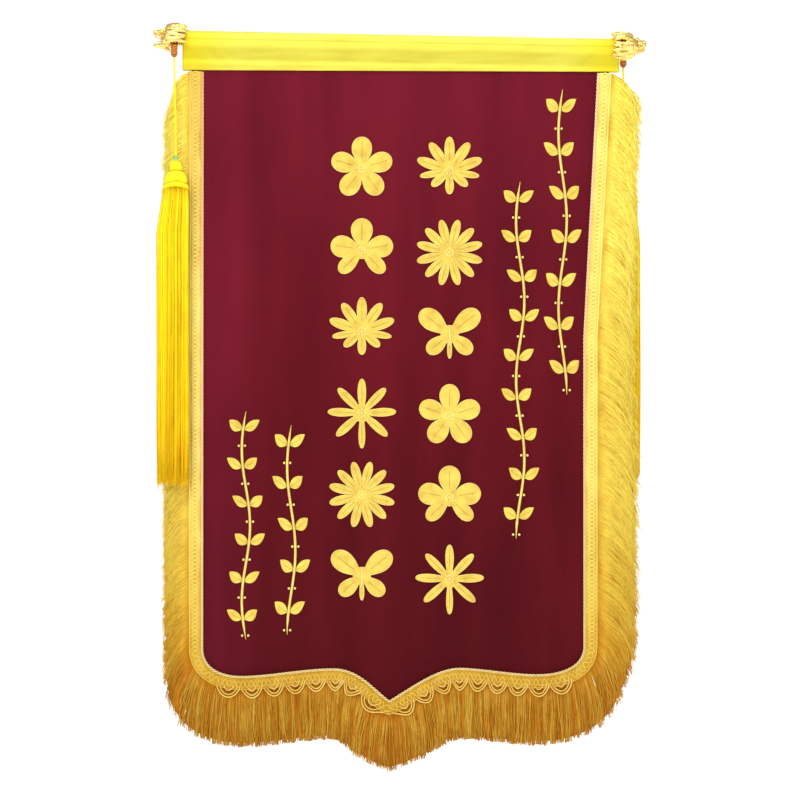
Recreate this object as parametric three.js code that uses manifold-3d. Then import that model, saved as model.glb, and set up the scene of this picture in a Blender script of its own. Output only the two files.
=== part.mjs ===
// A silk honor banner: a crimson velvet panel with a bracket-shaped hem, hung by a yellow satin
// sleeve from a round rod. A looped braid and a silky fringe edge its sides and hem, gold
// dragon-head finials close the rod, and a long tassel hangs from each end of it.
//
// Millimetres. X runs across the banner, +Z is up and -Y faces the viewer. The origin is the
// middle of the rod's axis, where a wall holds the banner up.
import * as THREE from 'three';
import { mergeVertices } from 'three/addons/utils/BufferGeometryUtils.js';
import Module from 'manifold-3d';

const wasm = await Module();
wasm.setup();
const { Manifold } = wasm;

// Driving dimensions

const CLEAR = 0.3; // what neighbouring pieces keep between them
const ROD = { radius: 8, half: 335.2, sides: 24, tilt: THREE.MathUtils.degToRad(1.1) };
const COLLAR = { start: 321.2, neck: 10.5, rim: 12.5, bore: 8.4, length: 13, bead: 2, slope: 0.6, sides: 14 };

// A dragon's head, drawn along +X from its collar's inner end, with its crest towards +Z. Places
// are its own; a paired row has a twin on the other side.
const SKULL = [
  { x: 19, y: 0, z: 0, long: 8.5, wide: 12.5, high: 14, around: 10, rows: 6 },
  { x: 22.5, y: 8.5, z: 7.5, long: 3.4, wide: 3, high: 3.4, around: 6, rows: 4, paired: true },
  { x: 18, y: 11, z: -2, long: 4.5, wide: 3.4, high: 6, around: 6, rows: 4, paired: true },
  { x: 35, y: 3.4, z: 8.2, long: 2.6, wide: 2.4, high: 2.4, around: 6, rows: 4, paired: true },
];
const UPPER_JAW = [
  { x: 18, low: -1, high: 12, half: 8.5 },
  { x: 25, low: 0.5, high: 10, half: 6.9 },
  { x: 31, low: 3.2, high: 8.4, half: 5.2 },
  { x: 38, low: 5, high: 8.2, half: 3.6 },
];
const LOWER_JAW = [
  { x: 16, low: -16, high: -7, half: 7.5 },
  { x: 24, low: -17, high: -8.5, half: 6.1 },
  { x: 31, low: -16.4, high: -11, half: 4.6 },
  { x: 37.4, low: -14.6, high: -11.6, half: 3.2 },
];
// Spikes swept back from the head: horns, crest and beard.
const SPIKES = [
  { foot: [17, 5.5, 10], tip: [1, 8, 23.5], radius: 2.6, paired: true },
  { foot: [22, 0, 9], tip: [4, 0, 24.5], radius: 3.4 },
  { foot: [20, 0, 10], tip: [9, 4, 21], radius: 2.8, paired: true },
  { foot: [20, 0, -12], tip: [12, 0, -20], radius: 2.8 },
  { foot: [24, 3.4, -12], tip: [16, 5, -19.5], radius: 2.2, paired: true },
];

// The hanging velvet's one slow fold, which fades out at the sleeve.
const FOLD = { depth: 3, pitch: 440, start: -250, lean: 0.12, fadeTop: 70, fadeFoot: 420 };

// The satin sleeve, folded over the rod and closed on both faces of the velvet's top edge.
const SLEEVE = {
  left: -316.5,
  right: 320.4,
  cloth: 1.4,
  flap: 2.8, // half thickness outside the flat flaps
  pocket: 10, // outer radius round the rod
  seamLeft: -42,
  seamRight: -44.6,
  stations: 13,
};
// Half thicknesses of the sleeve's outside by depth under the rod's axis, down to the flat flaps.
const SLEEVE_SIDE = [
  { depth: 2, half: SLEEVE.pocket - 0.3 },
  { depth: 6, half: 7.7 },
  { depth: 11, half: 4.5 },
  { depth: 17, half: SLEEVE.flap },
];
// Creases in its front, each a soft ridge about a sloping line.
const CREASE = { wide: 5, long: 30, from: 9 };
const CREASES = [
  { x: -268, z: -24, slope: -0.55, proud: 1.6 },
  { x: 272, z: -28, slope: 0.6, proud: 1.6 },
  { x: -60, z: -24, slope: 0.12, proud: 1 },
  { x: 110, z: -28, slope: -0.1, proud: 1 },
];

// The velvet's hem, as the braid's inner edge shows it. A cubic row has its two handles and its
// end, and each row starts where the one before it ends.
const EDGE_TOP_LEFT = [-288.4, -44];
const EDGE = [
  { to: [-289, -885], steps: 10 },
  { handles: [[-289, -915], [-262, -928]], to: [-230, -928], steps: 6 },
  { handles: [[-190, -928], [-140, -917.5]], to: [-98, -917.5], steps: 5 },
  { handles: [[-60, -917.5], [-42, -945]], to: [-15, -965], steps: 6 },
  { handles: [[14, -948], [54, -917]], to: [87, -916.5], steps: 6 },
  { handles: [[120, -916.5], [165, -925.5]], to: [200, -925.5], steps: 5 },
  { handles: [[240, -925.5], [271, -912]], to: [271, -882], steps: 6 },
  { to: [271, -433], steps: 6 },
  { to: [291.3, -46], steps: 5 },
];
const VELVET = { thick: 2, outset: 15, lap: 17, bend: -433, rowsAbove: 5, rowsBelow: 4, columns: 21, crowd: 0.55 };

// Layers in front of the velvet, by their distance outward from the braid's inner edge and by Y.
const TAPE = { inner: 6, outer: 22, back: -1.7, front: -3.3 };
const BRAID = { width: 18, back: -3.7, rim: -5, ridge: -6.1 };
const SCALLOP = { count: 17, foot: 13, drop: 17.5, radius: 1.3, centre: -6.6, from: -262, to: 246, steps: 4 };

// Locks of the fringe. turn is how far a lock has turned from its edge's outward direction towards
// straight down, at its root and at its tip. Each length has its locks' own length where it starts
// and where it ends, and over the last stretch before the hem they take on the hem's.
const LOCK = { root: 20.4, rootDepth: 1.2, depth: 3.6, taper: 0.5, uneven: 0.045, steps: 2 };
const SIDE_LOCKS = { turn: [0.2, 0.62], even: 0.35 };
const HEM_LOCKS = { from: 0.375, to: 0.627, long: 82, turn: [0.5, 0.94], stretch: 90 };
const FRINGE = [
  { name: 'fringe_left', from: 0, to: HEM_LOCKS.from, locks: 55, long: [48, 48], wide: 10 },
  { name: 'fringe_bottom', from: HEM_LOCKS.from, to: HEM_LOCKS.to, locks: 65, long: [82, 82], wide: 5.9 },
  { name: 'fringe_right', from: HEM_LOCKS.to, to: 1, locks: 54, long: [76, 57], wide: 10 },
];

// Each tassel hangs by one cord from a tie round its finial's neck.
const TIE = { from: 3.4, to: 10.6, cord: 1.8, sides: 14, shank: 5.2, shankLong: 19 };
const CORD = { radius: 1.4, sides: 8, steps: 19 };
const BEAD = { radius: 3.6 };
const TASSELS = [
  { side: 'left', sign: -1, tieX: -328, x: -324, headTop: -176.5, foot: -637, y: -23, shankY: -9, drift: -7.5 },
  { side: 'right', sign: 1, tieX: 327.6, x: 332, headTop: -192, foot: -631, y: 21, shankY: 9, drift: 1 },
];
const HEAD = { flat: 0.46, sides: 12, profile: [[0, 0], [4.5, -1], [8, -5], [9, -10], [7.6, -14],
  [13.5, -18.5], [16.6, -26], [15, -30], [18.6, -33], [19.4, -38], [0, -38]] };
const SKIRT = [
  { locks: 18, across: 20.6, deep: 7.6, wide: 4.2, thick: 3.2 },
  { locks: 8, across: 11, deep: 2.6, wide: 3.8, thick: 2.6 },
];

// Gold cloth motifs, laid on the velvet in columns. Each row is a fan of petals: how many, the angle
// that it fills about its middle one, their length, and the half angle and bluntness of each.
const MOTIF = { thick: 1.2, clear: 0.5, hub: 13, points: 40 };
const MOTIFS = {
  plum: [{ petals: 5, fan: 288, at: 90, long: 46, half: 34, blunt: 0.5 }],
  aster: [{ petals: 12, fan: 330, at: 90, long: 49, half: 15, blunt: 0.7 }],
  lotus: [
    { petals: 5, fan: 140, at: 90, long: 50, half: 20, blunt: 1.1 },
    { petals: 2, fan: 200, at: 90, long: 44, half: 14, blunt: 1.1 },
    { petals: 3, fan: 100, at: 270, long: 34, half: 20, blunt: 0.8 },
  ],
  cloud: [
    { petals: 3, fan: 160, at: 90, long: 46, half: 36, blunt: 0.45 },
    { petals: 2, fan: 90, at: 270, long: 46, half: 26, blunt: 0.6 },
  ],
  spray: [
    { petals: 7, fan: 264, at: 90, long: 50, half: 17, blunt: 1.2 },
    { petals: 1, fan: 0, at: 270, long: 52, half: 12, blunt: 1 },
  ],
  butterfly: [
    { petals: 2, fan: 104, at: 90, long: 54, half: 30, blunt: 0.5 },
    { petals: 2, fan: 100, at: 270, long: 42, half: 28, blunt: 0.5 },
    { petals: 1, fan: 0, at: 270, long: 36, half: 10, blunt: 0.8 },
  ],
};
const COLUMNS = [
  { name: 'west', x: -55, top: -185, pitch: 119, motifs: ['plum', 'cloud', 'lotus', 'spray', 'aster', 'butterfly'] },
  { name: 'east', x: 73, top: -189, pitch: 119, motifs: ['lotus', 'aster', 'butterfly', 'plum', 'cloud', 'spray'] },
];
// Slender garlands beside the columns: a wavy stem with leaves to either side of it.
const GARLAND = { wave: 6, pitch: 60, leafLong: 22 };
// One leaf's outline: its reach from the stem and its place along the pitch, as shares.
const LEAF = [
  { reach: 0.11, along: 0.32 },
  { reach: 0.45, along: 0.4 },
  { reach: 1, along: 0.22 },
  { reach: 0.62, along: 0.58 },
  { reach: 0.11, along: 0.62 },
];
const GARLANDS = [
  { name: 'garland_right_outer', x: 238, top: -70, foot: -515 },
  { name: 'garland_right_inner', x: 176, top: -205, foot: -725 },
  { name: 'garland_left_inner', x: -158, top: -560, foot: -865 },
  { name: 'garland_left_outer', x: -224, top: -540, foot: -872 },
];

// Materials

const finish = (color, roughness, metalness = 0) =>
  new THREE.MeshStandardMaterial({ color, roughness, metalness });
const velvetCloth = finish(0x6f1625, 0.9);
const yellowSatin = finish(0xf0e04a, 0.45);
const goldBraid = finish(0xf3df7c, 0.6);
const goldFringe = finish(0xd9a92c, 0.55);
const yellowSilk = finish(0xf2c818, 0.5);
const amberCord = finish(0xb8691c, 0.6);
const goldCloth = finish(0xe8cd45, 0.5);
const platedGold = finish(0xd9a62e, 0.25, 1);
const jadeGlass = finish(0x3fae4a, 0.3);
const rodWood = finish(0xc9a878, 0.7);

// Solids

// A solid from rings of points that have the same number each, capped at both ends.
function loft(rings) {
  const n = rings[0].length;
  const points = rings.flat();
  const faces = [];
  for (let i = 0; i + 1 < rings.length; i++) {
    for (let j = 0; j < n; j++) {
      const k = (j + 1) % n;
      const [a, b, c, d] = [i * n + j, i * n + k, (i + 1) * n + k, (i + 1) * n + j];
      faces.push([a, b, c], [a, c, d]);
    }
  }
  const flat = (ring) => {
    const axes = THREE.ShapeUtils.triangulateShape;
    const normal = newell(ring);
    const across = Math.abs(normal.z) > 0.9 ? new THREE.Vector3(1, 0, 0) : new THREE.Vector3(0, 0, 1);
    const u = across.clone().cross(normal).normalize();
    const v = normal.clone().cross(u);
    return axes(ring.map((p) => new THREE.Vector2(p.dot(u), p.dot(v))), []);
  };
  const last = (rings.length - 1) * n;
  for (const [a, b, c] of flat(rings[0])) faces.push([c, b, a]);
  for (const [a, b, c] of flat(rings[rings.length - 1])) faces.push([last + a, last + b, last + c]);
  return solid(points, faces);
}

// The unit normal of a ring of points.
function newell(ring) {
  const sum = new THREE.Vector3();
  ring.forEach((p, i) => sum.add(p.clone().cross(ring[(i + 1) % ring.length])));
  return sum.normalize();
}

// A manifold solid from points and faces. Faces that point inwards are all turned round.
function solid(points, faces) {
  const vertProperties = new Float32Array(points.flatMap((p) => [p.x, p.y, p.z]));
  const volume = faces.reduce((sum, [a, b, c]) => sum + points[a].dot(points[b].clone().cross(points[c])), 0);
  const triVerts = new Uint32Array(faces.flatMap(([a, b, c]) => (volume < 0 ? [a, c, b] : [a, b, c])));
  return new Manifold(new wasm.Mesh({ numProp: 3, vertProperties, triVerts }));
}

// A manifold solid from a three.js geometry.
function solidOf(geometry, matrix = new THREE.Matrix4()) {
  const bare = geometry.clone().applyMatrix4(matrix);
  bare.deleteAttribute('normal');
  bare.deleteAttribute('uv');
  const merged = mergeVertices(bare, 1e-4);
  const position = merged.getAttribute('position');
  const points = Array.from({ length: position.count }, (_, i) => at(0, 0, 0).fromBufferAttribute(position, i));
  const index = merged.index.array;
  const faces = [];
  for (let i = 0; i < index.length; i += 3) {
    const face = [index[i], index[i + 1], index[i + 2]];
    if (new Set(face).size === 3) faces.push(face);
  }
  return solid(points, faces);
}

// The three.js geometry of a manifold solid.
function geometryOf(made) {
  const mesh = made.getMesh();
  return new THREE.BufferGeometry()
    .setAttribute('position', new THREE.BufferAttribute(new Float32Array(mesh.vertProperties), 3))
    .setIndex(new THREE.BufferAttribute(new Uint32Array(mesh.triVerts), 1));
}

function piece(name, made, material) {
  const geometry = geometryOf(made);
  geometry.computeVertexNormals();
  const mesh = new THREE.Mesh(geometry, material);
  mesh.name = name;
  return mesh;
}

const lerp = THREE.MathUtils.lerp;
const at = (x, y, z) => new THREE.Vector3(x, y, z);
const placed = (x, y, z) => new THREE.Matrix4().makeTranslation(x, y, z);

// How far back the hanging velvet stands at a place.
function fold(x, z) {
  const hang = THREE.MathUtils.smoothstep(-z, FOLD.fadeTop, FOLD.fadeFoot);
  return hang * FOLD.depth * Math.sin((2 * Math.PI * (x - FOLD.start + FOLD.lean * z)) / FOLD.pitch);
}

// The height of the rod's axis at a place along it.
const rodHeight = (x) => -x * Math.tan(ROD.tilt);

// The braid's inner edge, from the top left round the hem to the top right, as places with their
// outward directions.
function edgeStations() {
  const places = [new THREE.Vector2(...EDGE_TOP_LEFT)];
  for (const row of EDGE) {
    const start = places[places.length - 1];
    const end = new THREE.Vector2(...row.to);
    const curve = row.handles
      ? new THREE.CubicBezierCurve(start, ...row.handles.map((h) => new THREE.Vector2(...h)), end)
      : new THREE.LineCurve(start, end);
    for (let i = 1; i <= row.steps; i++) places.push(curve.getPoint(i / row.steps));
  }
  const outward = (a, b) => new THREE.Vector2(b.y - a.y, a.x - b.x).normalize();
  return places.map((place, i) => {
    const before = outward(places[Math.max(i - 1, 0)], i ? place : places[1]);
    const after = i + 1 < places.length ? outward(place, places[i + 1]) : before;
    const middle = before.clone().add(after).normalize();
    return { place, out: middle, stretch: 1 / Math.max(0.6, middle.dot(after)) };
  });
}
const STATIONS = edgeStations();

// A place that far outward from a station of the edge.
const outset = (station, distance) =>
  station.place.clone().addScaledVector(station.out, distance * station.stretch);

// The part of the edge between two shares of its length, as stations spaced by its own corners.
function edgeBetween(from, to) {
  const along = [0];
  for (let i = 1; i < STATIONS.length; i++) {
    along.push(along[i - 1] + STATIONS[i].place.distanceTo(STATIONS[i - 1].place));
  }
  const total = along[along.length - 1];
  const stationAt = (distance) => {
    const i = Math.min(Math.max(along.findIndex((a) => a >= distance), 1), along.length - 1);
    const t = (distance - along[i - 1]) / (along[i] - along[i - 1]);
    const [a, b] = [STATIONS[i - 1], STATIONS[i]];
    return {
      place: a.place.clone().lerp(b.place, t),
      out: a.out.clone().lerp(b.out, t).normalize(),
      stretch: lerp(a.stretch, b.stretch, t),
    };
  };
  const inside = STATIONS.filter((_, i) => along[i] > from * total + 1 && along[i] < to * total - 1);
  return { stations: [stationAt(from * total), ...inside, stationAt(to * total)], stationAt, total };
}

// A band along the edge, with a section of outward distances and depths.
const band = (stations, section) =>
  loft(stations.map((station) => section.map(([distance, depth]) => {
    const p = outset(station, distance);
    return at(p.x, depth + fold(p.x, p.y), p.y);
  })));

// A lock of threads: a three-sided prism along places in the XZ plane. It leaves the tape's edge
// thin, swells, and tapers to its tip.
function lock(path, depth, wide) {
  return loft(path.map(({ x, z, angle }, i) => {
    const size = lerp(1, LOCK.taper, i / (path.length - 1));
    const thick = i ? LOCK.depth * size : LOCK.rootDepth;
    const [ax, az] = [-Math.sin(angle), Math.cos(angle)];
    return [[-0.5, 0.4], [0.5, 0.4], [0, -0.6]].map(([across, through]) =>
      at(x + across * wide * size * ax, depth + through * thick, z + across * wide * size * az));
  }));
}

// Velvet panel

function velvetPanel() {
  const first = EDGE[0].steps;
  const last = STATIONS.length - 1 - EDGE[7].steps - EDGE[8].steps;
  const hem = STATIONS.slice(first, last + 1).map((station) => outset(station, VELVET.outset));
  const left = outset(STATIONS[0], VELVET.outset).x;
  const right = outset(STATIONS[STATIONS.length - 1], VELVET.outset).x;
  const bendRight = hem[hem.length - 1].x;
  const columns = Array.from({ length: VELVET.columns }, (_, i) => {
    const share = i / (VELVET.columns - 1);
    const eased = share - (VELVET.crowd * Math.sin(2 * Math.PI * share)) / (2 * Math.PI); // closer at the sides
    const x = lerp(hem[0].x, bendRight, eased);
    const k = Math.min(Math.max(hem.findIndex((p) => p.x >= x), 1), hem.length - 1);
    const t = (x - hem[k - 1].x) / (hem[k].x - hem[k - 1].x);
    const topX = lerp(left, right, eased);
    const seam = lerp(SLEEVE.seamLeft, SLEEVE.seamRight, eased);
    return { x, topX, top: seam + VELVET.lap, foot: lerp(hem[k - 1].y, hem[k].y, t) };
  });
  const rows = [
    ...Array.from({ length: VELVET.rowsAbove }, (_, i) => ({ half: 0, t: i / VELVET.rowsAbove })),
    ...Array.from({ length: VELVET.rowsBelow + 1 }, (_, i) => ({ half: 1, t: i / VELVET.rowsBelow })),
  ];
  const sheet = (depth) => columns.flatMap((c) => rows.map(({ half, t }) => {
    const x = half ? c.x : lerp(c.topX, c.x, t);
    const z = half ? lerp(VELVET.bend, c.foot, t) : lerp(c.top, VELVET.bend, t);
    return at(x, depth + fold(x, z), z);
  }));
  const [n, count] = [rows.length, columns.length * rows.length];
  const faces = [];
  const quad = (a, b, c, d) => faces.push([a, b, c], [a, c, d]);
  for (let i = 0; i + 1 < columns.length; i++) {
    for (let j = 0; j + 1 < n; j++) {
      const [a, b] = [i * n + j, (i + 1) * n + j];
      quad(a, a + 1, b + 1, b);
      quad(count + a, count + b, count + b + 1, count + a + 1);
    }
    const [top, foot] = [i * n, i * n + n - 1];
    quad(top, top + n, count + top + n, count + top);
    quad(foot, count + foot, count + foot + n, foot + n);
  }
  const lastColumn = (columns.length - 1) * n;
  for (let j = 0; j + 1 < n; j++) {
    quad(j, count + j, count + j + 1, j + 1);
    quad(lastColumn + j, lastColumn + j + 1, count + lastColumn + j + 1, count + lastColumn + j);
  }
  const half = VELVET.thick / 2;
  return solid([...sheet(-half), ...sheet(half)], faces);
}

// Satin sleeve: one cloth folded over the rod, with creases drawn towards its ends

function satinSleeve() {
  const crease = (x, z) => CREASES.reduce((sum, row) => {
    const off = (z - row.z - row.slope * (x - row.x)) / CREASE.wide;
    const along = (x - row.x) / CREASE.long;
    return sum - row.proud * Math.exp(-off * off - along * along);
  }, 0);
  const arc = [-3, -2, -1, 0, 1, 2, 3].map((turn) => (turn * Math.PI) / 6);
  return loft(Array.from({ length: SLEEVE.stations }, (_, i) => {
    const share = i / (SLEEVE.stations - 1);
    const x = lerp(SLEEVE.left, SLEEVE.right, share);
    const axis = rodHeight(x);
    const seam = lerp(SLEEVE.seamLeft, SLEEVE.seamRight, share);
    const rows = [...SLEEVE_SIDE, { depth: axis - seam, half: SLEEVE.flap }];
    const side = (sign, inner) => rows.map(({ depth, half }) => {
      const z = axis - depth;
      const bulge = sign < 0 && depth > CREASE.from ? crease(x, z) : 0;
      return at(x, sign * (half - inner) + bulge, z);
    });
    const over = (inner) => arc.map((turn) => {
      const radius = SLEEVE.pocket - inner;
      return at(x, radius * Math.sin(turn), axis + radius * Math.cos(turn));
    });
    return [
      ...side(-1, 0).reverse(), ...over(0), ...side(1, 0),
      ...side(1, SLEEVE.cloth).reverse(), ...over(SLEEVE.cloth).reverse(), ...side(-1, SLEEVE.cloth),
    ];
  }));
}

// Braid with its scallops

function gimpBraid() {
  const section = [[0, BRAID.back], [0, BRAID.rim], [5, BRAID.ridge], [SCALLOP.foot, BRAID.ridge],
    [BRAID.width, BRAID.rim], [BRAID.width, BRAID.back]];
  const loops = Array.from({ length: SCALLOP.count }, (_, i) => {
    const pitch = (SCALLOP.to - SCALLOP.from) / SCALLOP.count;
    const ring = Array.from({ length: SCALLOP.steps + 1 }, (_, k) => {
      const share = k / SCALLOP.steps;
      const hemAt = hemPlace(SCALLOP.from + (i + 0.06 + 0.88 * share) * pitch, SCALLOP.foot);
      const reach = SCALLOP.drop * Math.sin(Math.PI * share) ** 0.8;
      return hemAt.place.clone().addScaledVector(hemAt.out, reach);
    });
    return loft(ring.map((p, k) => {
      const along = ring[Math.min(k + 1, ring.length - 1)].clone().sub(ring[Math.max(k - 1, 0)]).normalize();
      const y = SCALLOP.centre + fold(p.x, p.y);
      return [[1, 0.6], [-1, 0.6], [0, -1]].map(([across, through]) => at(
        p.x - across * SCALLOP.radius * along.y,
        y + through * SCALLOP.radius,
        p.y + across * SCALLOP.radius * along.x,
      ));
    }));
  });
  return Manifold.union([band(STATIONS, section), ...loops]);
}

// The place on the hem at that X, that far outward of the braid's inner edge.
function hemPlace(x, distance) {
  const hem = STATIONS.filter((s) => s.place.y < -880).map((s) => ({ place: outset(s, distance), out: s.out }));
  const k = Math.min(Math.max(hem.findIndex((p) => p.place.x >= x), 1), hem.length - 1);
  const t = (x - hem[k - 1].place.x) / (hem[k].place.x - hem[k - 1].place.x);
  return {
    place: hem[k - 1].place.clone().lerp(hem[k].place, t),
    out: hem[k - 1].out.clone().lerp(hem[k].out, t).normalize(),
  };
}

// Fringe: a narrow tape with locks that turn from its edge towards straight down

function fringe({ from, to, locks, long, wide }) {
  const edge = edgeBetween(from, to);
  const half = 0.3 / edge.total; // so that two lengths of tape stay apart
  const { stations, stationAt } = edgeBetween(from + (from ? half : 0), to - (to < 1 ? half : 0));
  const tape = band(stations, [
    [TAPE.inner, TAPE.back], [TAPE.inner, TAPE.front], [TAPE.outer, TAPE.front], [TAPE.outer, TAPE.back],
  ]);
  const down = -Math.PI / 2;
  const made = Array.from({ length: locks }, (_, i) => {
    const share = (i + 0.5) / locks;
    const distance = lerp(from, to, share) * edge.total;
    const past = Math.max(HEM_LOCKS.from * edge.total - distance, distance - HEM_LOCKS.to * edge.total, 0);
    const aside = THREE.MathUtils.smoothstep(past, 0, HEM_LOCKS.stretch);
    const [rootTurn, tipTurn] = [0, 1].map((k) => lerp(HEM_LOCKS.turn[k], SIDE_LOCKS.turn[k], aside));
    const own = lerp(...long, THREE.MathUtils.smoothstep(share, SIDE_LOCKS.even, 1));
    const root = stationAt(distance);
    const place = outset(root, LOCK.root);
    const out = Math.atan2(root.out.y, root.out.x);
    const turn = THREE.MathUtils.euclideanModulo(down - out + Math.PI, 2 * Math.PI) - Math.PI;
    const reach = lerp(HEM_LOCKS.long, own, aside) * (1 + LOCK.uneven * Math.sin(i * 2.4));
    const spot = { x: place.x, z: place.y };
    const path = Array.from({ length: LOCK.steps + 1 }, (_, k) => {
      const angle = out + turn * lerp(rootTurn, tipTurn, k / LOCK.steps);
      if (k) {
        spot.x += (Math.cos(angle) * reach) / LOCK.steps;
        spot.z += (Math.sin(angle) * reach) / LOCK.steps;
      }
      return { x: spot.x, z: spot.z, angle };
    });
    const depth = (TAPE.back + TAPE.front) / 2 + fold(place.x, place.y);
    return lock(path, depth, wide);
  });
  return Manifold.union([tape, ...made]);
}

// Dragon-head finial: a turned collar with a blind bore for the rod, a head, two jaws and spikes

function dragonHead() {
  const { rim, neck, bore, length, bead, slope } = COLLAR;
  const collar = [[0, 0], [rim, 0], [rim, bead], [neck, bead + slope], [neck, length - bead + slope],
    [rim, length - bead + 2 * slope], [rim, length + bead], [0, length + bead]];
  const onAxis = (geometry) => geometry.rotateZ(-Math.PI / 2);
  const turned = onAxis(new THREE.LatheGeometry(collar.map(([r, u]) => new THREE.Vector2(r, u)), COLLAR.sides));
  const twins = (row) => (row.paired ? [1, -1] : [1]);
  const lumps = SKULL.flatMap((row) => twins(row).map((side) => {
    const ball = new THREE.SphereGeometry(1, row.around, row.rows).scale(row.long, row.wide, row.high);
    return solidOf(ball, placed(row.x, side * row.y, row.z));
  }));
  const jaws = [UPPER_JAW, LOWER_JAW].map((rows) => loft(rows.map(({ x, low, high, half }) =>
    [at(x, -half, low), at(x, half, low), at(x, half, high), at(x, -half, high)])));
  const spikes = SPIKES.flatMap((row) => twins(row).map((side) => {
    const foot = at(row.foot[0], side * row.foot[1], row.foot[2]);
    const along = at(row.tip[0], side * row.tip[1], row.tip[2]).sub(foot);
    const turn = new THREE.Quaternion().setFromUnitVectors(at(0, 1, 0), along.clone().normalize());
    const middle = foot.clone().addScaledVector(along, 0.5);
    const cone = new THREE.ConeGeometry(row.radius, along.length(), 5).applyQuaternion(turn);
    return solidOf(cone, placed(middle.x, middle.y, middle.z));
  }));
  const deep = ROD.half - COLLAR.start + CLEAR;
  const cut = onAxis(new THREE.CylinderGeometry(bore, bore, deep + 1, ROD.sides));
  return Manifold.union([solidOf(turned), ...lumps, ...jaws, ...spikes])
    .subtract(solidOf(cut, placed((deep - 1) / 2, 0, 0)));
}

// Tie of cord round a finial's neck, with the wrapped shank that the tassel's cord leaves

function tasselTie(tassel) {
  const turns = [TIE.from + TIE.cord, TIE.to - TIE.cord].map((u) => {
    const x = tassel.sign * (COLLAR.start + u);
    const inner = (COLLAR.neck + CLEAR) / Math.cos(Math.PI / TIE.sides); // clear at its flats too
    const ring = new THREE.TorusGeometry(inner + TIE.cord, TIE.cord, 5, TIE.sides).rotateY(Math.PI / 2 + ROD.tilt);
    return solidOf(ring, placed(x, 0, rodHeight(x)));
  });
  const top = rodHeight(tassel.tieX) - COLLAR.neck - CLEAR;
  const ridges = [[0, 0], [3.4, 0], [TIE.shank, -5], [4.5, -9.2], [TIE.shank, -11],
    [TIE.shank - 0.3, -15], [3, -TIE.shankLong], [0, -TIE.shankLong]];
  const shank = new THREE.LatheGeometry(ridges.map(([r, z]) => new THREE.Vector2(r, z)), 8).rotateX(Math.PI / 2);
  return Manifold.union([...turns, solidOf(shank, placed(tassel.tieX, tassel.shankY, top))]);
}

// The cord from a tie's shank to the tassel's bead: down, then out to where the fringe lets it hang.
function tasselCord(tassel) {
  const shankFoot = rodHeight(tassel.tieX) - COLLAR.neck - CLEAR - TIE.shankLong;
  const start = at(tassel.tieX, tassel.shankY, shankFoot - CLEAR);
  const end = at(tassel.x, tassel.y, tassel.headTop + CLEAR);
  const path = new THREE.CatmullRomCurve3([
    start,
    at(tassel.tieX, tassel.shankY, start.z - 10),
    at(lerp(tassel.tieX, tassel.x, 0.5), lerp(tassel.shankY, tassel.y, 0.5), lerp(start.z, end.z, 0.42)),
    at(tassel.x, tassel.y, end.z + 34),
    end,
  ]);
  const ring = new THREE.Shape().absarc(0, 0, CORD.radius, 0, 2 * Math.PI);
  const sides = new THREE.Shape(ring.getSpacedPoints(CORD.sides).slice(0, CORD.sides));
  return solidOf(new THREE.ExtrudeGeometry(sides, { steps: CORD.steps, extrudePath: path, bevelEnabled: false }));
}

// The bead is threaded on the cord just over the tassel's head.
function tasselBead(tassel) {
  const place = placed(tassel.x, tassel.y, tassel.headTop + BEAD.radius + 2 * CLEAR);
  const bore = CORD.radius + 2 * CLEAR;
  const shell = new THREE.SphereGeometry(BEAD.radius, 10, 6).rotateX(Math.PI / 2);
  const hole = new THREE.CylinderGeometry(bore, bore, 4 * BEAD.radius, CORD.sides).rotateX(Math.PI / 2);
  return solidOf(shell, place).subtract(solidOf(hole, place));
}

// Tassel: a bound head of three swellings and a skirt of straight locks
function silkTassel(tassel) {
  const turned = new THREE.LatheGeometry(HEAD.profile.map(([r, z]) => new THREE.Vector2(r, z)), HEAD.sides);
  const head = turned.rotateX(Math.PI / 2).scale(1, HEAD.flat, 1);
  const headFoot = tassel.headTop + HEAD.profile[HEAD.profile.length - 1][1];
  const skirt = SKIRT.flatMap((ring, r) => Array.from({ length: ring.locks }, (_, i) => {
    const angle = (2 * Math.PI * (i + 0.5 * r)) / ring.locks;
    const uneven = 5 * Math.sin(i * 3.7 + r);
    const levels = [[3, 0.76, 0], [-66, 1, 1], [tassel.foot - headFoot + uneven, 0.98, 1]];
    return loft(levels.map(([z, wide, drift], k) => {
      const x = tassel.x + tassel.drift * drift + ring.across * wide * Math.cos(angle) + 0.4 * Math.sin(k * 2 + i);
      const y = tassel.y + ring.deep * Math.min(1, wide + 0.05) * Math.sin(angle);
      const [halfX, halfY] = [(ring.wide / 2) * (k ? 1 : 0.8), ring.thick / 2];
      return [[-1, -1], [1, -1], [1, 1], [-1, 1]].map(([a, b]) => at(x + a * halfX, y + b * halfY, headFoot + z));
    }));
  }));
  return Manifold.union([solidOf(head, placed(tassel.x, tassel.y, tassel.headTop)), ...skirt]);
}

// Gold motifs

// One plate of cloth with that outline in X and Z, laid on the velvet's front along its fold.
function laid(outline) {
  const shape = new THREE.Shape(outline);
  const flat = new THREE.ExtrudeGeometry(shape, { depth: MOTIF.thick, bevelEnabled: false });
  flat.rotateX(Math.PI / 2);
  const position = flat.getAttribute('position');
  const front = -(VELVET.thick / 2) - MOTIF.clear;
  for (let i = 0; i < position.count; i++) {
    position.setY(i, position.getY(i) + front + fold(position.getX(i), position.getZ(i)));
  }
  return solidOf(flat);
}

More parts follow.
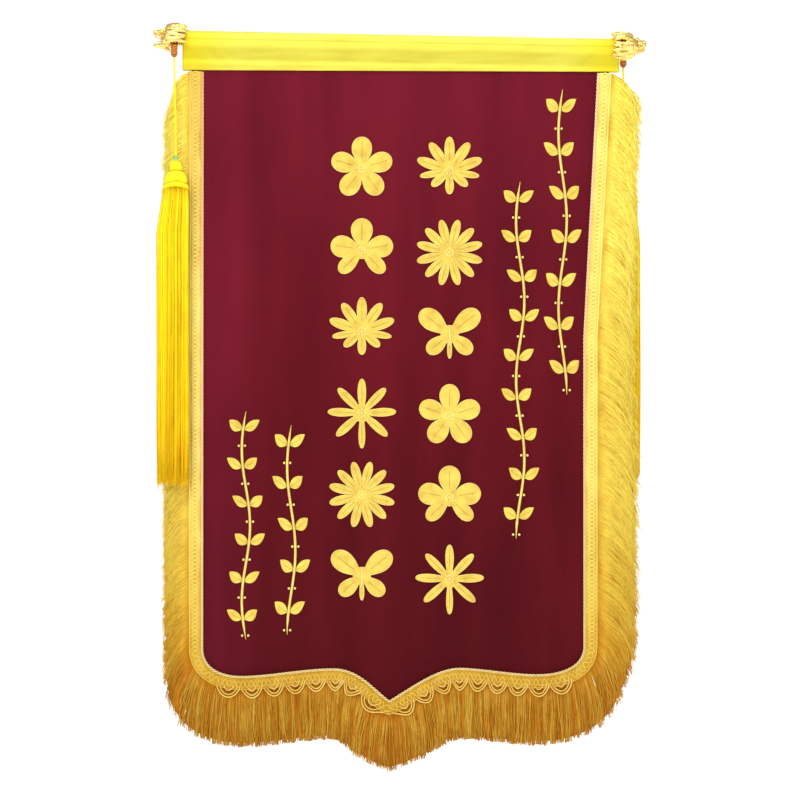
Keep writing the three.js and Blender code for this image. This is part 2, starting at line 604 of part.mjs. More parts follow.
// A motif's outline reaches as far at each angle as the petal that reaches furthest there.
function motif(rows, x, z) {
  const petals = rows.flatMap((row) => Array.from({ length: row.petals }, (_, i) => {
    const share = row.petals === 1 ? 0 : i / (row.petals - 1) - 0.5;
    return { ...row, middle: THREE.MathUtils.degToRad(row.at + row.fan * share) };
  }));
  const outline = Array.from({ length: MOTIF.points }, (_, i) => {
    const angle = (2 * Math.PI * i) / MOTIF.points;
    const reach = petals.map(({ middle, long, half, blunt }) => {
      const off = Math.abs(THREE.MathUtils.euclideanModulo(angle - middle + Math.PI, 2 * Math.PI) - Math.PI);
      const swell = Math.max(0, Math.cos((off / THREE.MathUtils.degToRad(half)) * (Math.PI / 2)));
      return off < THREE.MathUtils.degToRad(half) ? MOTIF.hub + (long - MOTIF.hub) * swell ** blunt : MOTIF.hub;
    });
    const radius = Math.max(...reach);
    return new THREE.Vector2(x + radius * Math.cos(angle), z + radius * Math.sin(angle));
  });
  return laid(outline);
}

// A garland's outline goes down one side of its wavy stem and up the other, out round each leaf.
function garland({ x, top, foot }) {
  const leaves = Math.round((top - foot) / GARLAND.pitch);
  const pitch = (top - foot) / leaves;
  const swayAt = (z) => GARLAND.wave * Math.sin((Math.PI * (z - top)) / (2 * pitch));
  const side = (sign) => Array.from({ length: leaves }, (_, i) => LEAF.map(({ reach, along }) => {
    const z = top - (i + along) * pitch;
    return new THREE.Vector2(x + swayAt(z) + sign * reach * GARLAND.leafLong, z);
  })).flat();
  const tip = new THREE.Vector2(x, top);
  const tail = new THREE.Vector2(x + swayAt(foot), foot);
  return laid([tip, ...side(1), tail, ...side(-1).reverse()]);
}

// The banner

const banner = new THREE.Group();

const rodGroup = new THREE.Group();
rodGroup.rotation.y = ROD.tilt;
const dowel = new THREE.CylinderGeometry(ROD.radius, ROD.radius, 2 * ROD.half, ROD.sides).rotateZ(-Math.PI / 2);
rodGroup.add(piece('rod', solidOf(dowel), rodWood));
const dragon = dragonHead();
const finialLeft = piece('finial_left', dragon, platedGold);
finialLeft.position.x = -COLLAR.start;
finialLeft.rotation.z = Math.PI;
const finialRight = piece('finial_right', dragon, platedGold);
finialRight.position.x = COLLAR.start;
finialRight.rotation.x = (15 * Math.PI) / 36; // a whole number of the rod's facets, crest to the viewer
rodGroup.add(finialLeft, finialRight);
banner.add(rodGroup);

banner.add(piece('velvet_panel', velvetPanel(), velvetCloth));
banner.add(piece('satin_sleeve', satinSleeve(), yellowSatin));
banner.add(piece('gimp_braid', gimpBraid(), goldBraid));
for (const run of FRINGE) banner.add(piece(run.name, fringe(run), goldFringe));

for (const tassel of TASSELS) {
  banner.add(piece('tassel_tie_' + tassel.side, tasselTie(tassel), amberCord));
  banner.add(piece('tassel_cord_' + tassel.side, tasselCord(tassel), yellowSilk));
  banner.add(piece('tassel_bead_' + tassel.side, tasselBead(tassel), jadeGlass));
  banner.add(piece('tassel_' + tassel.side, silkTassel(tassel), yellowSilk));
}

for (const column of COLUMNS) {
  column.motifs.forEach((kind, i) => {
    const name = 'motif_' + column.name + '_' + (i + 1);
    banner.add(piece(name, motif(MOTIFS[kind], column.x, column.top - i * column.pitch), goldCloth));
  });
}
for (const run of GARLANDS) banner.add(piece(run.name, garland(run), goldCloth));

export default banner;
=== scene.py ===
"""Dresses a silk honor banner on its rod: velvet, satin, braid, fringe, tassels and gold motifs.

Sizes are millimetres unless a name says otherwise, and every mesh is scaled to metres as it is
made. X runs across the banner, Z is up and -Y faces the viewer. The origin is the middle of the
rod's axis.
"""

import logging
import math
from collections.abc import Iterable, Sequence
from dataclasses import dataclass, field
from enum import Enum

import bpy
import numpy as np
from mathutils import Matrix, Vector


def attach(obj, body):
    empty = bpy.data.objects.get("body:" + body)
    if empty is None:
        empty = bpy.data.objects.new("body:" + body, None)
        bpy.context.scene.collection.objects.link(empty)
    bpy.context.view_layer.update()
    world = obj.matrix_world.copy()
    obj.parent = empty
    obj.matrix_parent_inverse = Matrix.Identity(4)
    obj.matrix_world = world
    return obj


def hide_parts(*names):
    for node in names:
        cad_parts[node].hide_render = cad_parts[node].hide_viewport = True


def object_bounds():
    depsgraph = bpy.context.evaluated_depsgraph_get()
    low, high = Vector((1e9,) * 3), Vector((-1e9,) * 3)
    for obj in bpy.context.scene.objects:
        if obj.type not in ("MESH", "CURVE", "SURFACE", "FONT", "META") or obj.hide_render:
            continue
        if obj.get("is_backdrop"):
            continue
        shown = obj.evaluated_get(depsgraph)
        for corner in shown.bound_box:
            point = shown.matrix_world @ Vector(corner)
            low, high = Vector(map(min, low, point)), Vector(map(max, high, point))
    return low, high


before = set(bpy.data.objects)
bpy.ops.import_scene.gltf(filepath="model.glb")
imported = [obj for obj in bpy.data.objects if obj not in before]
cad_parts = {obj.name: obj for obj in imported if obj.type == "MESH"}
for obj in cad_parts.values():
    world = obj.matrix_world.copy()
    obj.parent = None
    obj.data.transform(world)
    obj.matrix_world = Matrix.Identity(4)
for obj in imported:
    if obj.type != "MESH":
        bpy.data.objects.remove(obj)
CAD_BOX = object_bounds()

LOG = logging.getLogger("banner")
MM = 0.001
BODY = "root"
UP = (0.0, 0.0, 1.0)
TO_VIEWER = (0.0, -1.0, 0.0)
ALONG_ROD = (1.0, 0.0, 0.0)


class Slot(Enum):
    """The record's material slots."""

    VELVET = "velvet"
    SATIN = "satin"
    BRAID = "braid"
    FRINGE = "fringe_silk"
    TASSEL = "tassel_silk"
    TIE = "tie_cord"
    APPLIQUE = "applique"
    GILT = "gilt"
    BEAD = "bead"
    ROD = "rod_wood"


class Side(Enum):
    """The banner's two sides, as the viewer sees them, with the sign of their X."""

    LEFT = -1
    RIGHT = 1


# Shapes


def linear(shade: str) -> tuple[float, float, float, float]:
    """Turns an sRGB shade into the linear colour that a shader's socket takes.

    Args:
        shade: Six hexadecimal digits.

    Returns:
        Red, green, blue and alpha.
    """
    parts = [int(shade[i : i + 2], 16) / 255 for i in (0, 2, 4)]
    bent = [p / 12.92 if p <= 0.04045 else ((p + 0.055) / 1.055) ** 2.4 for p in parts]
    return (*bent, 1.0)


def unit(vectors: np.ndarray) -> np.ndarray:
    """Scales vectors, held along the last axis, to length one.

    Args:
        vectors: Any array whose last axis holds the vectors.

    Returns:
        The scaled vectors.
    """
    return vectors / np.maximum(np.linalg.norm(vectors, axis=-1, keepdims=True), 1e-9)


def smooth_share(values: np.ndarray) -> np.ndarray:
    """Eases shares from 0 to 1 so that they start and end gently.

    Args:
        values: Shares, clipped to 0 and 1 first.

    Returns:
        The eased shares.
    """
    held = np.clip(values, 0, 1)
    return held * held * (3 - 2 * held)


def circle(count: int) -> np.ndarray:
    """Angles spaced evenly round a circle."""
    return 2 * math.pi * np.arange(count) / count


def lattice(rows: int, columns: int, round_rows: bool = False, round_columns: bool = False) -> np.ndarray:
    """Faces of a lattice of points, held row by row.

    Args:
        rows: How many rows of points there are.
        columns: How many points a row has.
        round_rows: Whether the last row joins the first.
        round_columns: Whether the last column joins the first.

    Returns:
        Four point numbers for each face.
    """
    i, j = np.meshgrid(
        np.arange(rows if round_rows else rows - 1),
        np.arange(columns if round_columns else columns - 1),
        indexing="ij",
    )
    i, j = i.ravel(), j.ravel()
    below, beside = (i + 1) % rows, (j + 1) % columns
    return np.stack([i * columns + j, i * columns + beside, below * columns + beside, below * columns + j], 1)


def spline(knots: Sequence[Sequence[float]], steps: int) -> np.ndarray:
    """A centripetal Catmull-Rom curve through a few points.

    Args:
        knots: The points that it passes.
        steps: How many points each stretch gets.

    Returns:
        The curve's points, the last knot among them.
    """
    given = np.array(knots, float)
    ends = np.vstack([2 * given[0] - given[1], given, 2 * given[-1] - given[-2]])
    times = np.concatenate([[0], np.cumsum(np.linalg.norm(np.diff(ends, axis=0), axis=1) ** 0.5)])
    made = []
    for i in range(1, len(ends) - 2):
        t = np.linspace(times[i], times[i + 1], steps, endpoint=False)[:, None]
        level = [ends[i + k] for k in (-1, 0, 1, 2)]
        stamp = [times[i + k] for k in (-1, 0, 1, 2)]
        for span in (1, 2, 3):
            level = [
                ((stamp[k + span] - t) * level[k] + (t - stamp[k]) * level[k + 1])
                / (stamp[k + span] - stamp[k])
                for k in range(len(level) - 1)
            ]
        made.append(level[0])
    return np.vstack([*made, given[-1:]])


def tangents(paths: np.ndarray, closed: bool) -> np.ndarray:
    """The directions in which paths run.

    Args:
        paths: Paths, points and coordinates.
        closed: Whether a path's last point joins its first.

    Returns:
        A unit vector for each point.
    """
    if closed:
        return unit(np.roll(paths, -1, 1) - np.roll(paths, 1, 1))
    return unit(np.gradient(paths, axis=1))


def plied(
    path: np.ndarray, reference: Sequence[float], offset: float, turns: float, plies: int = 2
) -> np.ndarray:
    """Threads twisted round a path.

    Args:
        path: The points that they wind about.
        reference: A direction that the path never runs in.
        offset: How far each thread lies from the path.
        turns: How often they go round it.
        plies: How many threads there are.

    Returns:
        A path for each thread.
    """
    along = tangents(path[None], False)[0]
    side = unit(np.cross(along, reference))
    over = np.cross(along, side)
    angle = np.linspace(0, 2 * math.pi * turns, len(path))[None, :] + circle(plies)[:, None]
    return path + offset * (np.cos(angle)[..., None] * side + np.sin(angle)[..., None] * over)


class Draft:
    """Points and faces in millimetres, gathered from several shapes into one mesh.

    Each point has a tone, which a finish reads as how pale its thread is, and a run, which is how
    far along its thread it lies.
    """

    def __init__(self) -> None:
        """Starts with nothing in it."""
        self.points: list[np.ndarray] = []
        self.tones: list[np.ndarray] = []
        self.runs: list[np.ndarray] = []
        self.faces: list[np.ndarray] = []
        self.kinds: list[np.ndarray] = []
        self.count = 0

    def add(
        self,
        points: np.ndarray,
        faces: Iterable[np.ndarray],
        tone: np.ndarray | float = 0.5,
        run: np.ndarray | float = 0.5,
        kind: int = 0,
    ) -> None:
        """Adds a shape.

        Args:
            points: Its points.
            faces: Blocks of faces, each with one number of corners.
            tone: Its tone, for all of it or for each point.
            run: How far along its thread each point lies.
            kind: Which of the piece's finishes it has.
        """
        flat = np.asarray(points, float).reshape(-1, 3)
        self.points.append(flat)
        for values, store in ((tone, self.tones), (run, self.runs)):
            store.append(np.broadcast_to(np.asarray(values, float).ravel(), len(flat)))
        for block in faces:
            self.faces.append(np.asarray(block) + self.count)
            self.kinds.append(np.full(len(block), kind))
        self.count += len(flat)

    def tubes(
        self,
        paths: np.ndarray,
        radius: np.ndarray | float,
        sides: int,
        reference: Sequence[float] = TO_VIEWER,
        tone: np.ndarray | float = 0.5,
        closed: bool = False,
        kind: int = 0,
        flat: float = 1.0,
    ) -> None:
        """Adds a round tube along each path.

        Args:
            paths: Paths, points and coordinates, or one path's points.
            radius: The radius, for all or for each path and point.
            sides: How many sides a tube has.
            reference: A direction that no path runs in.
            tone: The tone, for all or for each path.
            closed: Whether a path's last point joins its first.
            kind: Which of the piece's finishes they have.
            flat: Their thickness towards the reference, as a share of their width.
        """
        paths = paths[None] if paths.ndim == 2 else paths
        count, steps = paths.shape[:2]
        along = tangents(paths, closed)
        side = unit(np.cross(along, np.asarray(reference, float)))
        over = np.cross(along, side)
        turn = circle(sides)
        ring = np.cos(turn)[:, None] * side[:, :, None] + flat * np.sin(turn)[:, None] * over[:, :, None]
        reach = np.broadcast_to(radius, (count, steps))[..., None, None]
        points = paths[:, :, None] + reach * ring
        first = (np.arange(count) * steps * sides)[:, None, None]
        walls = lattice(steps, sides, round_rows=closed, round_columns=True)[None] + first
        blocks = [walls.reshape(-1, 4)]
        if not closed:
            caps = np.stack([np.arange(sides)[::-1], np.arange(sides) + (steps - 1) * sides])
            blocks.append((caps[None] + first).reshape(-1, sides))
        run = np.broadcast_to(np.linspace(0, 1, steps)[None, :, None], (count, steps, sides))
        shade = np.broadcast_to(np.asarray(tone, float).reshape(-1, 1, 1), (count, steps, sides))
        self.add(points, blocks, shade, run, kind)

    def sweep(self, sections: np.ndarray, tone: np.ndarray | float = 0.5, kind: int = 0) -> None:
        """Adds a solid from closed sections that have the same number of points each.

        Args:
            sections: Sections, points and coordinates.
            tone: Its tone, for all of it or for each point.
            kind: Which of the piece's finishes it has.
        """
        rows, columns = sections.shape[:2]
        walls = lattice(rows, columns, round_columns=True)
        caps = np.stack([np.arange(columns)[::-1], np.arange(columns) + (rows - 1) * columns])
        run = np.repeat(np.linspace(0, 1, rows), columns)
        self.add(sections, [walls, caps], tone, run, kind)

    def lathe(
        self,
        profile: np.ndarray,
        sides: int,
        centre: Sequence[float] = (0, 0, 0),
        flat: float = 1.0,
        tone: float = 0.5,
        kind: int = 0,
    ) -> None:
        """Adds a turned shape whose axis is upright.

        Args:
            profile: Radius and height of each row, from pole to pole, upwards.
            sides: How many sides it has.
            centre: Where its axis and its zero height are.
            flat: Its depth along Y, as a share of its width.
            tone: Its tone.
            kind: Which of the piece's finishes it has.
        """
        turn = circle(sides)
        rings = np.stack(
            [
                profile[:, :1] * np.cos(turn),
                profile[:, :1] * np.sin(turn) * flat,
                np.broadcast_to(profile[:, 1:], (len(profile), sides)),
            ],
            2,
        )
        self.sweep(rings + np.asarray(centre, float), tone, kind)

    def ball(
        self,
        centre: Sequence[float],
        radii: Sequence[float],
        sides: int = 12,
        kind: int = 0,
        tone: float = 0.5,
    ) -> None:
        """Adds an egg shape.

        Args:
            centre: Its middle.
            radii: Its half sizes along X, Y and Z.
            sides: How many sides it has.
            kind: Which of the piece's finishes it has.
            tone: Its tone.
        """
        tilt = np.linspace(-math.pi / 2 + 0.12, math.pi / 2 - 0.12, max(sides // 2, 4))[:, None]
        turn = circle(sides)
        rings = np.stack(
            [
                np.cos(tilt) * np.cos(turn),
                np.cos(tilt) * np.sin(turn),
                np.broadcast_to(np.sin(tilt), (len(tilt), sides)),
            ],
            2,
        )
        self.sweep(rings * np.asarray(radii, float) + np.asarray(centre, float), tone, kind)

    def slab(
        self,
        front: np.ndarray,
        back: np.ndarray,
        tone: float = 0.5,
        kind: int = 0,
        back_kind: int | None = None,
    ) -> None:
        """Adds a closed sheet from two lattices of points that face away from each other.

        Args:
            front: The viewer's side: rows, columns and coordinates, rows running down and columns
                to the right.
            back: The other side, in the same order.
            tone: Its tone.
            kind: Which of the piece's finishes it has.
            back_kind: The finish of its other side, if that differs.
        """
        rows, columns = front.shape[:2]
        half = rows * columns
        skin = lattice(rows, columns)
        rim = np.concatenate(
            [
                np.arange(columns),
                np.arange(1, rows) * columns + columns - 1,
                (rows - 1) * columns + np.arange(columns - 2, -1, -1),
                np.arange(rows - 2, 0, -1) * columns,
            ]
        )
        onward = np.roll(rim, -1)
        walls = np.stack([rim, rim + half, onward + half, onward], 1)
        start = self.count
        both = np.concatenate([front.reshape(-1, 3), back.reshape(-1, 3)])
        self.add(both, [skin[:, ::-1], walls], tone, 0.5, kind)
        self.faces.append(skin + half + start)
        self.kinds.append(np.full(len(skin), kind if back_kind is None else back_kind))

    def melt(self, voxel: float, rounds: int) -> "Draft":
        """Fuses all that is in the draft into one skin and smooths it.

        Args:
            voxel: The size of the new faces.
            rounds: How often they are smoothed.

        Returns:
            A draft that holds the fused skin.
        """
        rough = self.build("melting", [])
        fused = rough.modifiers.new("fuse", "REMESH")
        fused.mode = "VOXEL"
        fused.voxel_size = voxel * MM
        eased = rough.modifiers.new("ease", "SMOOTH")
        eased.factor = 0.5
        eased.iterations = rounds
        skin = rough.evaluated_get(bpy.context.evaluated_depsgraph_get()).to_mesh()
        points = np.zeros(len(skin.vertices) * 3)
        skin.vertices.foreach_get("co", points)
        corners = np.zeros(len(skin.loops), int)
        skin.loops.foreach_get("vertex_index", corners)
        made = Draft()
        made.add(points.reshape(-1, 3) / MM, [corners.reshape(-1, 4)])
        bpy.data.objects.remove(rough)
        return made

    def turned(self, matrix: np.ndarray, shift: Sequence[float]) -> "Draft":
        """Copies the draft with its points turned and then moved.

        Args:
            matrix: Three rows of three.
            shift: How far they move.

        Returns:
            The copy.
        """
        made = Draft()
        made.tones, made.runs = list(self.tones), list(self.runs)
        made.faces, made.kinds = list(self.faces), list(self.kinds)
        made.points = [block @ matrix.T + np.asarray(shift, float) for block in self.points]
        made.count = self.count
        return made

    def build(self, name: str, materials: Sequence[bpy.types.Material]) -> bpy.types.Object:
        """Makes the Blender object, in metres.

        Args:
            name: The object's name.
            materials: Its materials, in the order of its kinds.

        Returns:
            The object.
        """
        mesh = bpy.data.meshes.new(name)
        points = np.concatenate(self.points) * MM
        corners = np.concatenate([block.ravel() for block in self.faces])
        sizes = np.concatenate([np.full(len(block), block.shape[1]) for block in self.faces])
        mesh.vertices.add(len(points))
        mesh.vertices.foreach_set("co", points.astype(np.float32).ravel())
        mesh.loops.add(len(corners))
        mesh.loops.foreach_set("vertex_index", corners.astype(np.int32))
        mesh.polygons.add(len(sizes))
        mesh.polygons.foreach_set("loop_start", (np.cumsum(sizes) - sizes).astype(np.int32))
        mesh.polygons.foreach_set("material_index", np.concatenate(self.kinds).astype(np.int32))
        mesh.update(calc_edges=True)
        mesh.shade_smooth()
        for key, values in (("tone", self.tones), ("run", self.runs)):
            stored = mesh.attributes.new(key, "FLOAT", "POINT")
            stored.data.foreach_set("value", np.concatenate(values).astype(np.float32))
        for material in materials:
            mesh.materials.append(material)
        made = bpy.data.objects.new(name, mesh)
        bpy.context.scene.collection.objects.link(made)
        return made


def finish_piece(made: bpy.types.Object, slot: Slot, *nodes: str) -> bpy.types.Object:
    """Fastens a piece to the banner's body and hides the solids that it stands for.

    Args:
        made: The piece.
        slot: Not used.
        nodes: The solids that it replaces.

    Returns:
        The piece.
    """
    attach(made, BODY)
    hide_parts(*nodes)
    triangles = sum(len(face.vertices) - 2 for face in made.data.polygons)
    LOG.info("%s: %d triangles", made.name, triangles)
    return made


# Finishes


class NodeSheet:
    """A material with its node tree, and short calls that add nodes to it."""

    def __init__(self, name: str) -> None:
        """Makes the material with a bare shader.

        Args:
            name: The material's name.
        """
        self.material = bpy.data.materials.new(name)
        self.material.use_nodes = True
        self.tree = self.material.node_tree
        self.shader = self.tree.nodes["Principled BSDF"]

    def feed(self, socket: bpy.types.NodeSocket, value: object) -> None:
        """Links another node's output to a socket, or sets its value."""
        if isinstance(value, bpy.types.NodeSocket):
            self.tree.links.new(value, socket)
        else:
            socket.default_value = value

    def add(
        self, kind: str, values: dict[str | int, object] | None = None, **settings: object
    ) -> bpy.types.Node:
        """Adds a node.

        Args:
            kind: Its Blender type.
            values: What its inputs take, by name or number.
            settings: Its own properties.

        Returns:
            The node.
        """
        made = self.tree.nodes.new(kind)
        for key, value in settings.items():
            setattr(made, key, value)
        for socket, value in (values or {}).items():
            self.feed(made.inputs[socket], value)
        return made

    def place(
        self, stretch: tuple[float, float, float] = (1, 1, 1), turn: float = 0.0
    ) -> bpy.types.NodeSocket:
        """The place on the object in metres, stretched and turned about Y.

        Args:
            stretch: Factors along X, Y and Z.
            turn: The angle about Y, in degrees.

        Returns:
            The place.
        """
        source = self.add("ShaderNodeTexCoord").outputs["Object"]
        values = {"Vector": source, "Scale": stretch, "Rotation": (0, math.radians(turn), 0)}
        return self.add("ShaderNodeMapping", values).outputs["Vector"]

    def axis(self, name: str) -> bpy.types.NodeSocket:
        """One coordinate of the place on the object, in metres."""
        source = self.add("ShaderNodeTexCoord").outputs["Object"]
        return self.add("ShaderNodeSeparateXYZ", {"Vector": source}).outputs[name]

    def read(self, name: str) -> bpy.types.NodeSocket:
        """One of the mesh's own values, such as its tone."""
        return self.add("ShaderNodeAttribute", attribute_name=name).outputs["Fac"]

    def math(
        self, kind: str, first: object, second: object = 0.0, third: object = 0.0
    ) -> bpy.types.NodeSocket:
        """A sum, product or other operation on up to three numbers."""
        return self.add("ShaderNodeMath", {0: first, 1: second, 2: third}, operation=kind).outputs[0]

    def share(self, value: object, low: float, high: float) -> bpy.types.NodeSocket:
        """How far a value lies from low to high, from 0 to 1."""
        values = {"Value": value, "From Min": low, "From Max": high}
        return self.add("ShaderNodeMapRange", values).outputs["Result"]

    def noise(self, vector: bpy.types.NodeSocket, scale: float, detail: float = 2.0) -> bpy.types.NodeSocket:
        """Soft random spots, from 0 to 1, scale of them to the metre."""
        values = {"Vector": vector, "Scale": scale, "Detail": detail}
        return self.add("ShaderNodeTexNoise", values).outputs["Fac"]

    def wave(
        self, vector: bpy.types.NodeSocket, scale: float, direction: str, bend: float = 0.0
    ) -> bpy.types.NodeSocket:
        """Even bands across a direction, bent a little by noise."""
        values = {"Vector": vector, "Scale": scale, "Distortion": bend, "Detail": 1.0, "Detail Scale": 2.0}
        return self.add("ShaderNodeTexWave", values, bands_direction=direction).outputs["Fac"]

    def ramp(self, factor: object, stops: Sequence[tuple[float, str]]) -> bpy.types.NodeSocket:
        """Colours by a factor from 0 to 1.

        Args:
            factor: What chooses the colour.
            stops: The place and the shade of each stop.

        Returns:
            The colour.
        """
        made = self.add("ShaderNodeValToRGB", {"Fac": factor})
        stripes = made.color_ramp.elements
        while len(stripes) < len(stops):
            stripes.new(0.5)
        for stripe, (position, shade) in zip(stripes, stops):
            stripe.position = position
            stripe.color = linear(shade)
        return made.outputs["Color"]

    def mix(self, factor: object, first: object, second: object, blend: str = "MIX") -> bpy.types.NodeSocket:
        """One colour over another.

        Args:
            factor: How much of the second there is.
            first: A colour, or a shade of six digits.
            second: A colour, or a shade of six digits.
            blend: How the second lies over the first.

        Returns:
            The mixed colour.
        """
        colours = [linear(value) if isinstance(value, str) else value for value in (first, second)]
        values = {0: factor, 6: colours[0], 7: colours[1]}
        made = self.add("ShaderNodeMix", values, data_type="RGBA", blend_type=blend)
        return made.outputs[2]

    def bump(self, height: bpy.types.NodeSocket, strength: float, depth: float) -> bpy.types.NodeSocket:
        """A normal from heights, whose full range is depth millimetres."""
        values = {"Height": height, "Strength": strength, "Distance": depth * MM}
        return self.add("ShaderNodeBump", values).outputs["Normal"]

    def finish(self, colour: object, normal: object = None, **constants: object) -> bpy.types.Material:
        """Joins all to the shader.

        Args:
            colour: The base colour.
            normal: The bumped normal, if there is one.
            constants: The shader's other sockets, with _ for the spaces in their names.

        Returns:
            The material.
        """
        self.feed(self.shader.inputs["Base Color"], colour)
        if normal is not None:
            self.feed(self.shader.inputs["Normal"], normal)
        for key, value in constants.items():
            self.feed(self.shader.inputs[key.replace("_", " ")], value)
        return self.material


@dataclass(frozen=True)
class VelvetFinish:
    """Crimson pile with painted shade that darkens it towards the foot and a painted lighter strip at its
    left, with upright marks where it was pressed.
    """

    top: str = "7a1a2c"
    middle: str = "6e1521"
    foot: str = "5b1219"
    paler: str = "801d34"
    mark_scale: float = 16.0
    nap_scale: float = 2600.0

    def material(self) -> bpy.types.Material:
        """Builds the node material."""
        sheet = NodeSheet("crimson_velvet")
        # Painted shade: the pile darkens from the top towards the foot, as the light falls off lower down.
        height = sheet.share(sheet.axis("Z"), -0.96, -0.04)
        ground = sheet.ramp(height, [(0, self.foot), (0.5, self.middle), (1, self.top)])
        # Painted light: a lighter strip along the left side, where the cloth faces the light more.
        side = sheet.math("MULTIPLY", sheet.share(sheet.axis("X"), -0.19, -0.27), 0.5)
        ground = sheet.mix(side, ground, self.paler)
        marks = sheet.noise(sheet.place((1, 1, 0.1)), self.mark_scale, 4)
        blots = sheet.noise(sheet.place((1, 1, 0.5)), self.mark_scale * 0.5)
        uneven = sheet.math("MULTIPLY_ADD", marks, 0.6, sheet.math("MULTIPLY", blots, 0.4))
        pressed = sheet.ramp(uneven, [(0.3, "b4b4b4"), (0.7, "ffffff")])
        ground = sheet.mix(0.8, ground, pressed, "MULTIPLY")
        nap = sheet.noise(sheet.place((1, 1, 0.6)), self.nap_scale, 1)
        ground = sheet.mix(0.5, ground, sheet.ramp(nap, [(0.3, "a0a0a0"), (0.7, "ffffff")]), "MULTIPLY")
        return sheet.finish(
            ground,
            sheet.bump(nap, 0.5, 0.5),
            Roughness=0.85,
            Specular_IOR_Level=0.05,
            Sheen_Weight=0.2,
            Sheen_Roughness=0.4,
            Sheen_Tint=linear("b0304a"),
        )


@dataclass(frozen=True)
class BackingFinish:
    """The velvet's plain woven back."""

    thread: str = "651824"
    gap: str = "3c0d15"
    pitch: float = 900.0

    def material(self) -> bpy.types.Material:
        """Builds the node material."""
        sheet = NodeSheet("velvet_backing")
        warp = sheet.wave(sheet.place(), self.pitch, "X", 0.4)
        weft = sheet.wave(sheet.place(), self.pitch, "Z", 0.4)
        weave = sheet.math("MULTIPLY", warp, weft)
        uneven = sheet.noise(sheet.place(), 30, 3)
        threads = sheet.ramp(weave, [(0, self.gap), (0.5, self.thread)])
        ground = sheet.mix(sheet.math("MULTIPLY", uneven, 0.4), threads, self.gap)
        return sheet.finish(ground, sheet.bump(weave, 0.6, 0.3), Roughness=0.9, Specular_IOR_Level=0.2)


@dataclass(frozen=True)
class SatinFinish:
    """Bright yellow satin with a fine slanting twill.

    Its bands are painted shade, darker rows from low to high on the sleeve along the slope of the rod, where
    the cloth below the rod turns away from the light.
    """

    bright: str = "e4db52"
    deep: str = "d7ca44"
    end: str = "e0cc1a"
    bands: tuple[tuple[float, str], ...] = (
        (0, "e6e4da"), (0.1, "ffffff"), (0.2, "d8d8c6"), (0.46, "d8d8c6"), (0.58, "ffffff"),
        (0.69, "ffffff"), (0.72, "d8d8c6"), (0.75, "ffffff"),
    )
    painted_shade_range: tuple[float, float] = (-0.04, 0.012)
    twill: float = 700.0

    def material(self) -> bpy.types.Material:
        """Builds the node material."""
        sheet = NodeSheet("yellow_satin")
        clouds = sheet.noise(sheet.place((0.25, 1, 1.4)), 60, 3)
        ground = sheet.ramp(clouds, [(0.3, self.deep), (0.65, self.bright)])
        reach = sheet.math("ABSOLUTE", sheet.axis("X"))
        ground = sheet.mix(sheet.share(reach, 0.24, 0.31), ground, self.end)
        # Painted shade: rows along the rod's slope are darkened where the cloth below the rod turns away from
        # the light.
        drop = sheet.math("MULTIPLY_ADD", sheet.axis("X"), math.tan(RodLine.tilt), sheet.axis("Z"))
        band = sheet.ramp(sheet.share(drop, *self.painted_shade_range), self.bands)
        ground = sheet.mix(0.75, ground, band, "MULTIPLY")
        twill = sheet.wave(sheet.place(turn=35), self.twill, "X")
        slubs = sheet.noise(sheet.place((0.12, 1, 1)), 900, 1)
        cloth = sheet.math("MULTIPLY_ADD", slubs, 0.6, sheet.math("MULTIPLY", twill, 0.4))
        return sheet.finish(
            ground,
            sheet.bump(cloth, 0.35, 0.12),
            Roughness=sheet.math("MULTIPLY_ADD", slubs, 0.2, 0.32),
            Specular_IOR_Level=0.15,
            Anisotropic=0.4,
        )


@dataclass(frozen=True)
class SilkFinish:
    """Silk threads, coloured by their height, partly dye and partly painted shade that deepens lower down,
    and paler or deeper from one thread to the next, partly at random and partly as painted highlight and
    painted shade.
    """

    name: str
    heights: tuple[tuple[float, str], ...]
    deep: str = "c89c3c"
    pale: str = "fff06c"
    root: str = "dcb870"
    grain: float = 260.0
    roughness: float = 0.55
    low: float = -1080.0
    high: float = 0.0

    def material(self) -> bpy.types.Material:
        """Builds the node material."""
        sheet = NodeSheet(self.name)
        # The height ramp is partly the silk's dye and partly painted shade, darker lower down, away from the
        # light above.
        height = sheet.share(sheet.axis("Z"), self.low * MM, self.high * MM)
        stops = sorted(((z - self.low) / (self.high - self.low), shade) for z, shade in self.heights)
        ground = sheet.ramp(height, stops)
        tone = sheet.read("tone")
        patches = sheet.noise(sheet.place((1, 1, 0.35)), self.grain * 0.3, 2)
        tone = sheet.math("MULTIPLY_ADD", sheet.math("SUBTRACT", patches, 0.5), 0.6, tone)
        # Painted shade and painted highlight: threads of low tone are darkened with the deep shade and
        # threads of high tone are lightened with the pale one.
        dark = sheet.mix(sheet.share(tone, 0.5, 0.0), ground, sheet.mix(1.0, ground, self.deep, "MULTIPLY"))
        lit = sheet.mix(sheet.math("MULTIPLY", sheet.share(tone, 0.5, 1.0), 0.35), dark, self.pale)
        # Painted shade at the roots: each thread is darkened near its root, where the parts above shade it.
        near = sheet.math("MULTIPLY", sheet.share(sheet.read("run"), 0.16, 0.0), 0.6)
        root_shaded = sheet.mix(near, lit, sheet.mix(1.0, lit, self.root, "MULTIPLY"))
        grain = sheet.noise(sheet.place((1, 1, 0.2)), self.grain * 12, 2)
        return sheet.finish(
            root_shaded,
            sheet.bump(grain, 0.25, 0.15),
            Roughness=self.roughness,
            Specular_IOR_Level=0.1,
        )


